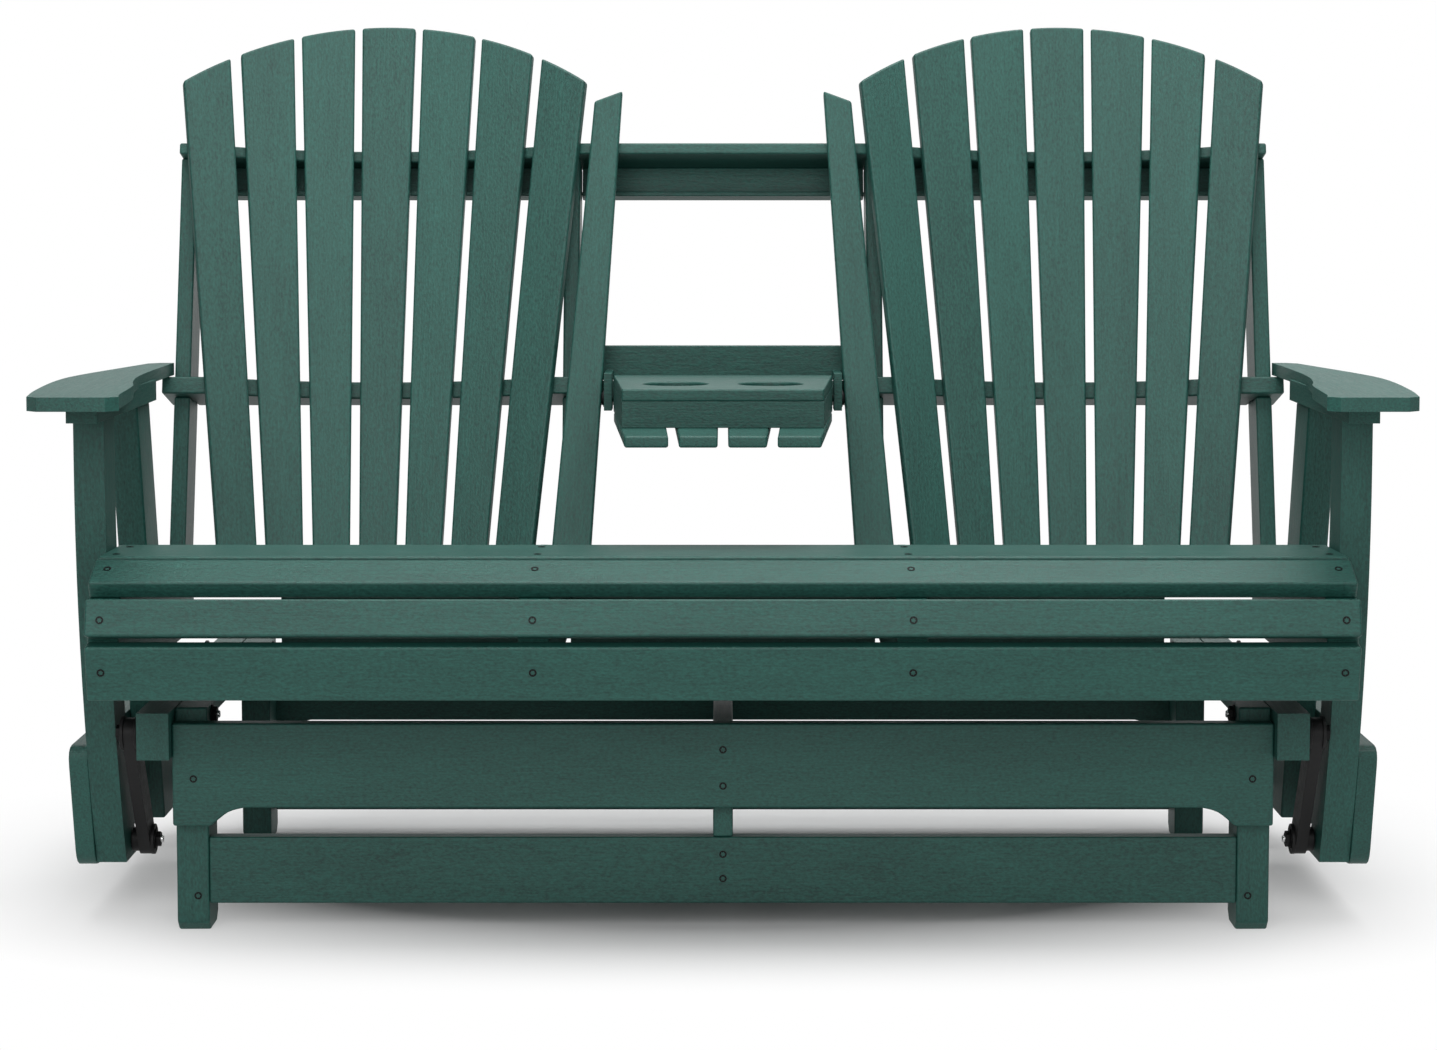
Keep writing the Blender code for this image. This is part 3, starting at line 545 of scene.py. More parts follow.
def merged(name: str, pieces: list[bpy.types.Object]) -> bpy.types.Object:
    """Joins several objects into one.

    Args:
        name: The name of the result.
        pieces: The objects to join.

    Returns:
        The joined object.
    """
    only(pieces[0])
    for piece in pieces:
        piece.select_set(True)
    if len(pieces) > 1:
        bpy.ops.object.join()
    joined = bpy.context.view_layer.objects.active
    joined.name = name
    joined.data.name = name
    return joined


def upright_at(point: Vector, normal: Vector, spin: float) -> Matrix:
    """The place of a fastener that stands on a surface.

    Args:
        point: Where it stands.
        normal: The direction that its head looks in.
        spin: How far it is turned about itself, in degrees.

    Returns:
        The matrix from its own space.
    """
    turn = normal.to_track_quat("Z", "Y").to_matrix().to_4x4()
    return Matrix.Translation(point) @ turn @ Matrix.Rotation(math.radians(spin), 4, "Z")


# ---------------------------------------------------------------- fasteners
@dataclass
class Hardware:
    """Patterns of the screws, bolts, nuts and washers. Each is modelled once, then copied."""

    screw_radius: float = 0.0047
    screw_proud: float = 0.0006
    screw_rim: float = 0.0009
    drive_depth: float = 0.0016
    head_radius: float = 0.0095
    nut_radius: float = 0.0105
    nut_height: float = 0.0075
    stub_radius: float = 0.0046

    def screw(self) -> bpy.types.Object:
        """A flat-headed screw with a six-lobed recess.

        Returns:
            The pattern, its head's underside at the origin and looking up.
        """
        piece = cylinder("pattern_screw", 24, self.screw_radius, -0.0012, self.screw_proud)
        pick(piece, faces_up)
        bpy.ops.mesh.inset(thickness=self.screw_rim, depth=0.0)
        bpy.ops.mesh.inset(thickness=0.0006, depth=-0.0001)
        bpy.ops.object.mode_set(mode="OBJECT")
        inner = next(face for face in piece.data.polygons if face.select)
        lobes = (1.0, 0.88, 0.70, 0.88)
        for index in inner.vertices:
            corner = piece.data.vertices[index].co
            step = round(math.atan2(corner.y, corner.x) / math.radians(15.0)) % 4
            corner.x *= lobes[step]
            corner.y *= lobes[step]
        bpy.ops.object.mode_set(mode="EDIT")
        bpy.ops.mesh.extrude_region_move(
            TRANSFORM_OT_translate={"value": (0.0, 0.0, -self.drive_depth)})
        bpy.ops.mesh.inset(thickness=0.0005, depth=-0.0003)
        bpy.ops.object.mode_set(mode="OBJECT")
        smooth(piece, 30.0)
        return piece

    def dome_head(self) -> bpy.types.Object:
        """The low dome of a carriage bolt.

        Returns:
            The pattern, standing on the origin.
        """
        piece = cylinder("pattern_dome", 24, self.head_radius, -0.0004, 0.0010)
        pick(piece, faces_up)
        for thickness, rise in ((0.0016, 0.0013), (0.0022, 0.0010), (0.0026, 0.0005)):
            bpy.ops.mesh.inset(thickness=thickness, depth=rise)
        bpy.ops.object.mode_set(mode="OBJECT")
        smooth(piece, 50.0)
        return piece

    def nut(self) -> bpy.types.Object:
        """A hexagonal lock nut on its own flange, with an open middle for the bolt's end.

        Returns:
            The pattern, standing on the origin.
        """
        piece = cylinder("pattern_nut", 6, self.nut_radius, 0.0008, self.nut_height)
        pick(piece, faces_up)
        bpy.ops.mesh.inset(thickness=0.0038, depth=0.0)
        bpy.ops.mesh.inset(thickness=0.0004, depth=-0.0020)
        bpy.ops.object.mode_set(mode="OBJECT")
        apply_bevel(piece, 0.0009, 2, 50.0)
        flange = cylinder("pattern_flange", 24, self.nut_radius * 1.18, -0.0004, 0.0018)
        pick(flange, faces_up)
        bpy.ops.mesh.inset(thickness=0.0022, depth=0.0007)
        bpy.ops.object.mode_set(mode="OBJECT")
        whole = merged("pattern_nut", [piece, flange])
        smooth(whole, 35.0)
        return whole

    def stub(self) -> bpy.types.Object:
        """The chamfered end of a bolt that shows in a nut.

        Returns:
            The pattern, standing on the origin.
        """
        piece = cylinder("pattern_stub", 20, self.stub_radius, 0.0030, self.nut_height + 0.0024)
        pick(piece, faces_up)
        bpy.ops.mesh.inset(thickness=0.0009, depth=0.0009)
        bpy.ops.mesh.inset(thickness=0.0022, depth=-0.0003)
        bpy.ops.object.mode_set(mode="OBJECT")
        smooth(piece, 30.0)
        return piece

    @staticmethod
    def washer(name: str, radius: float, hole: float, height: float) -> bpy.types.Object:
        """A flat ring.

        Args:
            name: The object's name.
            radius: Its outer radius.
            hole: The radius of its hole.
            height: Its thickness.

        Returns:
            The ring, standing on the origin.
        """
        piece = cylinder(name, 36, radius, 0.0, height)
        pick(piece, lambda face: abs(face.normal.z) > 0.99)
        bpy.ops.mesh.inset(thickness=radius - hole, depth=0.0)
        bpy.ops.mesh.delete(type="ONLY_FACE")
        bpy.ops.mesh.select_mode(type="EDGE")
        bpy.ops.mesh.select_all(action="DESELECT")
        bpy.ops.mesh.select_non_manifold()
        bpy.ops.mesh.bridge_edge_loops()
        bpy.ops.mesh.select_all(action="SELECT")
        bpy.ops.mesh.normals_make_consistent(inside=False)
        bpy.ops.object.mode_set(mode="OBJECT")
        apply_bevel(piece, min(0.0008, height / 3), 2, 50.0)
        smooth(piece, 40.0)
        return piece

    @staticmethod
    def bearing_cap(name: str, radius: float, height: float) -> bpy.types.Object:
        """The round cap of a link's bearing, with a raised rim and a dished face.

        Args:
            name: The object's name.
            radius: Its radius.
            height: How far it stands proud of the link.

        Returns:
            The cap, standing on the origin.
        """
        piece = cylinder(name, 40, radius, -0.0010, height)
        pick(piece, faces_up)
        bpy.ops.mesh.inset(thickness=0.0030, depth=0.0)
        bpy.ops.mesh.inset(thickness=0.0012, depth=-min(0.0012, height / 3))
        bpy.ops.mesh.inset(thickness=0.0040, depth=0.0)
        bpy.ops.mesh.inset(thickness=0.0008, depth=min(0.0008, height / 4))
        bpy.ops.object.mode_set(mode="OBJECT")
        apply_bevel(piece, 0.0009, 2, 60.0)
        smooth(piece, 35.0)
        return piece


# ---------------------------------------------------------------- the workshop
class Workshop:
    """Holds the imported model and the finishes, and dresses and mounts each piece."""

    def __init__(self, frame: dict) -> None:
        """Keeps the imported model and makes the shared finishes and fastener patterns."""
        self.nodes = frame["nodes"]
        self.joints = {joint["name"]: joint for joint in frame["joints"]}
        self.bodies = frame["record"]["behaviour"]["bodies"]
        self.lumber = LumberFinish()
        self.metals = {Slot.BLACK: POWDER_COAT.material(), Slot.FASTENER: BLACK_OXIDE.material(),
                       Slot.BRIGHT: ZINC_PLATE.material()}
        self.hardware = Hardware()
        self.patterns = {"screw": self.hardware.screw(), "dome": self.hardware.dome_head(),
                         "nut": self.hardware.nut(), "stub": self.hardware.stub()}
        self.boards_made = 0

    def body_of(self, node: str) -> str:
        """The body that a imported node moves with."""
        return next(body for body, members in self.bodies.items() if node in members)

    def tone(self) -> float:
        """A small lightness of its own for each board, the same on each run."""
        self.boards_made += 1
        return 0.05 * math.sin(self.boards_made * 2.399) + 0.02 * math.sin(self.boards_made * 5.1)

    def mount(self, piece: bpy.types.Object, body: str, slot: Slot) -> bpy.types.Object:
        """Makes a finished piece part of the object.

        Args:
            piece: The finished piece.
            body: The body that it moves with.
            slot: The material slot that it takes its finish from.

        Returns:
            The piece.
        """
        if slot in self.metals:
            piece.data.materials.clear()
            piece.data.materials.append(self.metals[slot])
        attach(piece, body)
        LOG.info("%s rides on %s", piece.name, body)
        return piece

    def copy_of(self, node: str, name: str) -> bpy.types.Object:
        """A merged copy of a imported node, ready to be eased.

        Args:
            node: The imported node.
            name: The copy's name.

        Returns:
            The copy, with its flat faces whole again.
        """
        mesh = self.nodes[node].data.copy()
        mesh.name = name
        piece = bpy.data.objects.new(name, mesh)
        bpy.context.scene.collection.objects.link(piece)
        only(piece)
        bpy.ops.mesh.customdata_custom_splitnormals_clear()
        bpy.ops.object.mode_set(mode="EDIT")
        bpy.ops.mesh.select_all(action="SELECT")
        bpy.ops.mesh.remove_doubles(threshold=0.00001)
        bpy.ops.mesh.dissolve_limited(angle_limit=math.radians(0.6))
        bpy.ops.object.mode_set(mode="OBJECT")
        return piece

    def board(self, node: str, grain: Grain, ease: float = 0.0030) -> bpy.types.Object:
        """Stands an eased and grained board in the place of a packed one.

        Args:
            node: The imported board.
            grain: The direction of its grain.
            ease: The radius of its edges.

        Returns:
            The board.
        """
        piece = self.copy_of(node, "lumber_" + node)
        along = Vector(grain.value)
        if grain is Grain.LONGEST_EDGE:
            corners = piece.data.vertices
            spans = [corners[edge.vertices[1]].co - corners[edge.vertices[0]].co
                     for edge in piece.data.edges]
            along = max(spans, key=lambda span: span.length).normalized()
        ease_board(piece, ease)
        piece.data.materials.clear()
        piece.data.materials.append(self.lumber.material("grain_" + node, along, self.tone()))
        self.mount(piece, self.body_of(node), Slot.LUMBER)
        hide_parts(node)
        return piece

    def new_board(self, piece: bpy.types.Object, along: Vector, body: str) -> bpy.types.Object:
        """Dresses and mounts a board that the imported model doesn't have.

        Args:
            piece: The finished board.
            along: The direction of its grain.
            body: The body that it moves with.

        Returns:
            The board.
        """
        piece.data.materials.clear()
        piece.data.materials.append(
            self.lumber.material("grain_" + piece.name, along, self.tone()))
        return self.mount(piece, body, Slot.LUMBER)

    def touch(self, node: str, start: Vector, toward: Vector) -> tuple[Vector, Vector]:
        """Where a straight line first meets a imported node.

        Args:
            node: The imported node.
            start: A point outside it.
            toward: The direction of the line.

        Returns:
            The point and the surface's normal there.
        """
        mesh = self.nodes[node].data
        tree = BVHTree.FromPolygons([corner.co for corner in mesh.vertices],
                                    [face.vertices for face in mesh.polygons])
        point, normal, _, _ = tree.ray_cast(start, toward)
        if point is None:
            raise ValueError(f"no surface of {node} from {tuple(start)}")
        return point, normal

    def fasten(self, name: str, pattern: str, body: str, slot: Slot,
               places: Iterable[tuple[Vector, Vector]]) -> bpy.types.Object:
        """Sets a row of fasteners on surfaces as one piece.

        Args:
            name: The piece's name.
            pattern: Which fastener.
            body: The body that they move with.
            slot: Their finish.
            places: The point and the normal of each.

        Returns:
            The piece.
        """
        copies = []
        for count, (point, normal) in enumerate(places):
            mesh = self.patterns[pattern].data.copy()
            mesh.transform(upright_at(point, normal, 47.0 * count + 11.0))
            copy = bpy.data.objects.new(name, mesh)
            bpy.context.scene.collection.objects.link(copy)
            copies.append(copy)
        return self.mount(merged(name, copies), body, slot)

    def screws(self, node: str, spots: Iterable[Vector], toward: Vector) -> None:
        """Screws a packed board down.

        Args:
            node: The board.
            spots: A point outside the board for each screw.
            toward: The direction in which they are driven.
        """
        places = [self.touch(node, spot, toward) for spot in spots]
        self.fasten("screws_" + node, "screw", self.body_of(node), Slot.FASTENER, places)

    def set_on(self, piece: bpy.types.Object, point: Vector, normal: Vector) -> bpy.types.Object:
        """Moves a piece that stands on the origin to a surface.

        Args:
            piece: The piece.
            point: Where it stands.
            normal: The direction that it looks in.

        Returns:
            The piece.
        """
        piece.data.transform(upright_at(point, normal, 0.0))
        return piece

    def clear_patterns(self) -> None:
        """Removes the fastener patterns."""
        for pattern in self.patterns.values():
            bpy.data.objects.remove(pattern)


BACKWARD = Vector((0.0, 1.0, 0.0))
FORWARD = Vector((0.0, -1.0, 0.0))
DOWN = Vector((0.0, 0.0, -1.0))
UP = Vector((0.0, 0.0, 1.0))


# ---------------------------------------------------------------- sub-assemblies
@dataclass
class Base:
    """The standing frame: legs, aprons, lower rails, side rails and the stretcher."""

    end_screw_x: float = 0.663
    apron_screw_z: float = 0.200
    rail_screw_z: float = 0.046
    centre_apron_z: tuple[float, float] = (0.237, 0.191)
    centre_rail_z: tuple[float, float] = (0.099, 0.068)
    leg_bolt_z: float = 0.272

    def build(self, shop: Workshop) -> None:
        """Makes the frame's boards and its screws and bolts."""
        for end, _ in ENDS:
            shop.board("base_apron_" + end, Grain.ACROSS)
            shop.board("base_lower_rail_" + end, Grain.ACROSS)
            for side, _ in SIDES:
                shop.board(f"base_leg_{end}_{side}", Grain.UPRIGHT)
        for side, _ in SIDES:
            shop.board("base_side_rail_" + side, Grain.FORE_AND_AFT)
        shop.board("base_stretcher", Grain.FORE_AND_AFT)
        self.add_screws(shop)
        self.add_nuts(shop)

    def add_screws(self, shop: Workshop) -> None:
        """Screws the aprons, legs and lower rails together."""
        for end, sign in ENDS:
            toward = BACKWARD * -sign
            far = sign * CLEAR_OF_ENDS
            apron = [(x, self.apron_screw_z) for x in (-self.end_screw_x, self.end_screw_x)]
            apron += [(0.0, z) for z in self.centre_apron_z]
            rail = [Vector((0.0, far, z)) for z in self.centre_rail_z]
            shop.screws("base_apron_" + end, [Vector((x, far, z)) for x, z in apron], toward)
            shop.screws("base_lower_rail_" + end, rail, toward)
            for side, sign_x in SIDES:
                foot = Vector((sign_x * self.end_screw_x, far, self.rail_screw_z))
                shop.screws(f"base_leg_{end}_{side}", [foot], toward)

    def add_nuts(self, shop: Workshop) -> None:
        """Puts a lock nut on the inner face of each leg, where its side rail is bolted on."""
        for end, _ in ENDS:
            for side, sign in SIDES:
                node = f"base_leg_{end}_{side}"
                low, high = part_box(node)
                spot = Vector((0.0, (low.y + high.y) / 2, self.leg_bolt_z))
                place = shop.touch(node, spot, Vector((sign, 0.0, 0.0)))
                shop.fasten("nut_" + node, "nut", "base", Slot.FASTENER, [place])
                shop.fasten("bolt_end_" + node, "stub", "base", Slot.BRIGHT, [place])


@dataclass
class Linkage:
    """The four hanging links with their bearings, washers and nuts."""

    bar_inner_x: float = 0.7352
    bar_outer_x: float = 0.7502
    post_inner_x: float = 0.7620
    board_outer_x: float = 0.8248
    bar_ease: float = 0.0022
    bar_angle: float = 50.0
    cap_radius: float = 0.0215
    outer_cap_height: float = 0.0034
    inner_cap_height: float = 0.0030
    upper_nut_seat: float = 0.0026
    post_gap: float = 0.0012
    lower_cap: tuple[float, float] = (0.0195, 0.0040)
    lower_nut_seat: float = 0.0034
    spacer: tuple[float, float, float] = (0.0155, 0.0092, 0.0100)
    washer_radius: float = 0.0165
    cover_radius: float = 0.0262
    washer_hole: float = 0.0052
    washer_height: float = 0.0022
    washer_gap: float = 0.0003
    cover_gap: float = 0.0006

    def pivots(self, shop: Workshop, end: int) -> tuple[Vector, Vector]:
        """The upper and lower pivots of a pair of links.

        Args:
            shop: The workshop.
            end: -1 for the front pair, 1 for the rear pair.

        Returns:
            Both pivots on the plane x = 0.
        """
        front = Vector(shop.joints["glide"]["pos_m"])
        rear = Vector(shop.joints["link_rear_left_swing"]["pos_m"])
        low = Vector(shop.joints["carriage_rock"]["pos_m"])
        middle = (front.y + rear.y) / 2
        reach = middle - low.y
        upper_y = front.y if end < 0 else rear.y
        return Vector((0.0, upper_y, front.z)), Vector((0.0, middle + end * reach, low.z))

    def build(self, shop: Workshop) -> None:
        """Makes the four links and all that is mounted on their pivots."""
        for end_name, end in ENDS:
            upper, lower = self.pivots(shop, end)
            for side_name, side in SIDES:
                body = f"link_{end_name}_{side_name}"
                self.bar(shop, body)
                outward = Vector((side, 0.0, 0.0))
                self.upper_end(shop, body, upper, outward)
                self.lower_end(shop, body, lower, outward)
                self.outer_face(shop, body, lower, outward, end)

    def bar(self, shop: Workshop, body: str) -> None:
        """The bar itself, with eased edges."""
        piece = shop.copy_of(body, "steel_" + body)
        apply_bevel(piece, self.bar_ease, EASE_SEGMENTS, self.bar_angle)
        smooth(piece, SHADE_ANGLE)
        shop.mount(piece, body, Slot.BLACK)
        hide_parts(body)

    def upper_end(self, shop: Workshop, body: str, pivot: Vector, outward: Vector) -> None:
        """Bearing caps on both faces of the bar and a nut on the outer one."""
        outer = pivot + outward * self.bar_outer_x
        inner = pivot + outward * self.bar_inner_x
        cap = shop.hardware.bearing_cap("upper_cap_" + body, self.cap_radius,
                                        self.outer_cap_height)
        shop.mount(shop.set_on(cap, outer, outward), body, Slot.BLACK)
        thin = shop.hardware.bearing_cap("upper_inner_cap_" + body, self.cap_radius,
                                         self.inner_cap_height)
        shop.mount(shop.set_on(thin, inner, -outward), body, Slot.BLACK)
        seat = [(outer + outward * self.upper_nut_seat, outward)]
        nut = shop.fasten("upper_nut_" + body, "nut", body, Slot.FASTENER, seat)
        self.keep_low(nut, outer.x, outward.x * (self.post_inner_x - self.post_gap))

    @staticmethod
    def keep_low(piece: bpy.types.Object, from_x: float, limit_x: float) -> None:
        """Flattens a piece so that it stays clear of the post beside it.

        Args:
            piece: The piece.
            from_x: Where it starts.
            limit_x: How far it may reach.
        """
        reach = max(abs(vertex.co.x) for vertex in piece.data.vertices)
        share = min(1.0, (abs(limit_x) - abs(from_x)) / (reach - abs(from_x)))
        for vertex in piece.data.vertices:
            vertex.co.x = from_x + (vertex.co.x - from_x) * share

    def lower_end(self, shop: Workshop, body: str, pivot: Vector, outward: Vector) -> None:
        """A cap, a flanged nut and a bright bolt end inside, and a spacer outside."""
        inner = pivot + outward * self.bar_inner_x
        outer = pivot + outward * self.bar_outer_x
        cap = shop.hardware.bearing_cap("lower_cap_" + body, *self.lower_cap)
        shop.mount(shop.set_on(cap, inner, -outward), body, Slot.BLACK)
        seat = [(inner - outward * self.lower_nut_seat, -outward)]
        shop.fasten("lower_nut_" + body, "nut", body, Slot.FASTENER, seat)
        shop.fasten("lower_bolt_end_" + body, "stub", body, Slot.BRIGHT, seat)
        spacer = shop.hardware.washer("lower_spacer_" + body, *self.spacer)
        shop.mount(shop.set_on(spacer, outer, outward), body, Slot.BLACK)

    def outer_face(self, shop: Workshop, body: str, pivot: Vector, outward: Vector,
                   end: int) -> None:
        """A washer and a bolt head over the pivot, on the outer face of the side board."""
        rider, radius, gap = "swing", self.washer_radius, self.washer_gap
        if end > 0:
            rider, radius, gap = body, self.cover_radius, self.cover_gap
        face = pivot + outward * (self.board_outer_x + gap)
        washer = shop.hardware.washer("outer_washer_" + body, radius, self.washer_hole,
                                      self.washer_height)
        shop.mount(shop.set_on(washer, face, outward), rider, Slot.BLACK)
        shop.fasten("outer_head_" + body, "dome", rider, Slot.BRIGHT,
                    [(face + outward * self.washer_height, outward)])


@dataclass
class Carriage:
    """Both ends of the swinging seat: posts, lower side boards and arms."""

    bolt_z: tuple[float, float] = (0.454, 0.388)
    board_screw_z: tuple[float, float] = (0.205, 0.112)
    cleat_screw_x: float = 0.776
    cleat_screw_y: tuple[float, float, float] = (-0.300, -0.130, 0.040)
    below_arm: float = 0.2
    board_ease: float = 0.0040
    arm_ease: float = 0.0042

    def build(self, shop: Workshop) -> None:
        """Makes the boards of both ends and their bolts and screws."""
        for side, sign in SIDES:
            shop.board("post_front_" + side, Grain.UPRIGHT)
            shop.board("post_rear_" + side, Grain.LONGEST_EDGE)
            shop.board("lower_side_board_" + side, Grain.FORE_AND_AFT, self.board_ease)
            shop.board("arm_" + side, Grain.FORE_AND_AFT, self.arm_ease)
            self.add_bolts(shop, side, sign)

    def centre_y(self, shop: Workshop, node: str, z: float) -> float:
        """The middle of a post at some height, between its front and rear faces."""
        low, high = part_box(node)
        x = (low.x + high.x) / 2
        front = shop.touch(node, Vector((x, -CLEAR_OF_ENDS, z)), BACKWARD)[0].y
        rear = shop.touch(node, Vector((x, CLEAR_OF_ENDS, z)), FORWARD)[0].y
        return (front + rear) / 2

    def add_bolts(self, shop: Workshop, side: str, sign: int) -> None:
        """Bolts the seat to the posts, and screws the lower board and the cleat."""
        inward = Vector((-sign, 0.0, 0.0))
        far = sign * CLEAR_OF_SIDES
        heads = []
        board = "lower_side_board_" + side
        spots = []
        for kind in ("post_front_", "post_rear_"):
            for z in self.bolt_z:
                start = Vector((far, self.centre_y(shop, kind + side, z), z))
                heads.append(shop.touch(kind + side, start, inward))
            for z in self.board_screw_z:
                spots.append(Vector((far, self.centre_y(shop, kind + side, z), z)))
        shop.fasten("post_bolts_" + side, "dome", "swing", Slot.BRIGHT, heads)
        shop.screws(board, spots, inward)
        arm_low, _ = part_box("arm_" + side)
        under = [Vector((sign * self.cleat_screw_x, y, arm_low.z - self.below_arm))
                 for y in self.cleat_screw_y]
        shop.screws("arm_" + side, under, UP)


@dataclass
class Seat:
    """The bench: its boards and the four supports under them."""

    screw_x: tuple[float, ...] = (-0.7427, -0.227, 0.227, 0.7427)
    edge_gap: float = 0.028
    wide_board: float = 0.1
    end_gap: float = 0.01
    above: float = 1.0
    brace_spans: tuple[tuple[float, float], ...] = ((-0.600, -0.2470), (-0.2070, 0.2070),
                                                    (0.2470, 0.600))
    brace_depth: tuple[float, float] = (0.1170, 0.1390)
    brace_height: tuple[float, float] = (0.308, 0.411)
    brace_ease: float = 0.0018
    brace_screw_inset: float = 0.020

    def build(self, shop: Workshop) -> None:
        """Makes the bench's boards and screws them down."""
        for side, _ in SIDES:
            for kind in ("outer", "inner"):
                shop.board(f"seat_support_{kind}_{side}", Grain.FORE_AND_AFT)
        for node in ("seat_fascia", "seat_nose_board"):
            shop.board(node, Grain.ACROSS)
            low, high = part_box(node)
            middle = (low.z + high.z) / 2
            shop.screws(node, [Vector((x, -CLEAR_OF_ENDS, middle)) for x in self.screw_x], BACKWARD)
        for count in (1, 2, 3, 4):
            node = f"seat_board_{count}"
            shop.board(node, Grain.ACROSS)
            self.screw_down(shop, node)
        self.add_braces(shop)

    def add_braces(self, shop: Workshop) -> None:
        """Stands boards on edge between the supports, under the rear of the bench."""
        front, rear = self.brace_depth
        bottom, top = self.brace_height
        for count, (start, end) in enumerate(self.brace_spans, start=1):
            name = f"seat_brace_{count}"
            piece = block(name, Vector((start, front, bottom)), Vector((end, rear, top)))
            ease_board(piece, self.brace_ease)
            shop.new_board(piece, Vector((1.0, 0.0, 0.0)), "swing")
            places = [(Vector((x, rear, (bottom + top) / 2)), BACKWARD)
                      for x in (start + self.brace_screw_inset, end - self.brace_screw_inset)]
            shop.fasten("screws_" + name, "screw", "swing", Slot.FASTENER, places)

    def screw_down(self, shop: Workshop, node: str) -> None:
        """Drives one screw into a narrow board at each support, or two into a wide one."""
        low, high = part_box(node)
        rows = [(low.y + high.y) / 2]
        if high.y - low.y > self.wide_board:
            rows = [low.y + self.edge_gap, high.y - self.edge_gap]
        spots = [Vector((x, y, self.above)) for x in self.screw_x
                 if low.x < x - self.end_gap and x + self.end_gap < high.x for y in rows]
        shop.screws(node, spots, DOWN)


@dataclass
class Back:
    """Two fans of slats with the rails and uprights behind them."""

    recline: float = math.radians(15.0)
    foot: tuple[float, float, float] = (0.0, 0.147, 0.440)
    fan_slats: int = 7
    rail_underside: float = 0.5623
    strip_drop: float = 0.0445
    strip_front: float = 0.0740
    strip_rear: float = 0.0885
    lip_front: float = 0.0610
    lip_height: float = 0.0065
    spans: tuple[tuple[float, float], ...] = ((-0.7372, -0.2228), (-0.1992, 0.1992),
                                              (0.2228, 0.7372))
    upright_x: tuple[float, float] = (0.749, 0.211)
    crossings: tuple[float, ...] = (0.530, 0.244, 0.214, -0.006, -0.024)
    slat_ease: float = 0.0034
    strip_ease: float = 0.0018
    strip_screw_inset: float = 0.014
    strip_screw_share: float = 0.45
    top_screw_depths: tuple[float, float] = (0.048, 0.074)
    behind: float = 0.4
    above: float = 0.9

    def frame(self) -> Matrix:
        """The back's own space: x across, depth behind the slats, height up the slope."""
        return Matrix.Translation(Vector(self.foot)) @ Matrix.Rotation(-self.recline, 4, "X")

    def build(self, shop: Workshop) -> None:
        """Makes slats, rails, uprights, the strip under the top rail and their screws."""
        for side, _ in SIDES:
            for count in range(1, self.fan_slats + 1):
                shop.board(f"back_slat_{side}_{count}", Grain.LONGEST_EDGE, self.slat_ease)
            shop.board("back_inner_slat_" + side, Grain.LONGEST_EDGE, self.slat_ease)
            for kind in ("outer", "inner"):
                shop.board(f"back_upright_{kind}_{side}", Grain.LONGEST_EDGE)
        for kind in ("upper", "middle", "bottom"):
            shop.board("back_rail_" + kind, Grain.ACROSS)
        self.add_strips(shop)
        self.add_screws(shop)

    def add_strips(self, shop: Workshop) -> None:
        """Hangs a lipped strip under the rear of the top rail, between the uprights."""
        frame = self.frame()
        bottom = self.rail_underside - self.strip_drop
        for count, (start, end) in enumerate(self.spans, start=1):
            name = f"rail_strip_{count}"
            low = Vector((start, self.strip_front, bottom))
            high = Vector((end, self.strip_rear, self.rail_underside))
            piece = block(name, low, high)
            only(piece)
            bpy.ops.object.mode_set(mode="EDIT")
            bpy.ops.mesh.select_all(action="SELECT")
            bpy.ops.mesh.bisect(plane_co=(0.0, 0.0, bottom + self.lip_height),
                                plane_no=(0.0, 0.0, 1.0))
            bpy.ops.object.mode_set(mode="OBJECT")
            edge = bottom + self.lip_height / 2
            pick(piece, lambda face: face.normal.y < -0.9 and abs(face.center.z - edge) < 0.001)
            bpy.ops.mesh.extrude_region_move(TRANSFORM_OT_translate={
                "value": (0.0, self.lip_front - self.strip_front, 0.0)})
            bpy.ops.object.mode_set(mode="OBJECT")
            ease_board(piece, self.strip_ease)
            piece.data.transform(frame)
            shop.new_board(piece, Vector((1.0, 0.0, 0.0)), "swing")
            self.strip_screws(shop, name, start, end)

    def strip_screws(self, shop: Workshop, name: str, start: float, end: float) -> None:
        """Screws a strip on near its ends, from the front."""
        frame = self.frame()
        normal = frame.to_3x3() @ FORWARD
        height = self.rail_underside - self.strip_drop * self.strip_screw_share
        places = [(frame @ Vector((x, self.strip_front, height)), normal)
                  for x in (start + self.strip_screw_inset, end - self.strip_screw_inset)]
        shop.fasten("screws_" + name, "screw", "swing", Slot.FASTENER, places)

    def add_screws(self, shop: Workshop) -> None:
        """Screws the uprights to the rails from behind and the top rail from above."""
        frame = self.frame()
        forward = frame.to_3x3() @ FORWARD
        downward = frame.to_3x3() @ DOWN
        for side, sign in SIDES:
            for kind, x in zip(("outer", "inner"), self.upright_x):
                node = f"back_upright_{kind}_{side}"
                spots = [frame @ Vector((sign * x, self.behind, height))
                         for height in self.crossings]
                shop.screws(node, spots, forward)
        tops = [frame @ Vector((sign * x, depth, self.above)) for _, sign in SIDES
                for x in self.upright_x for depth in self.top_screw_depths]
        shop.screws("back_rail_upper", tops, downward)


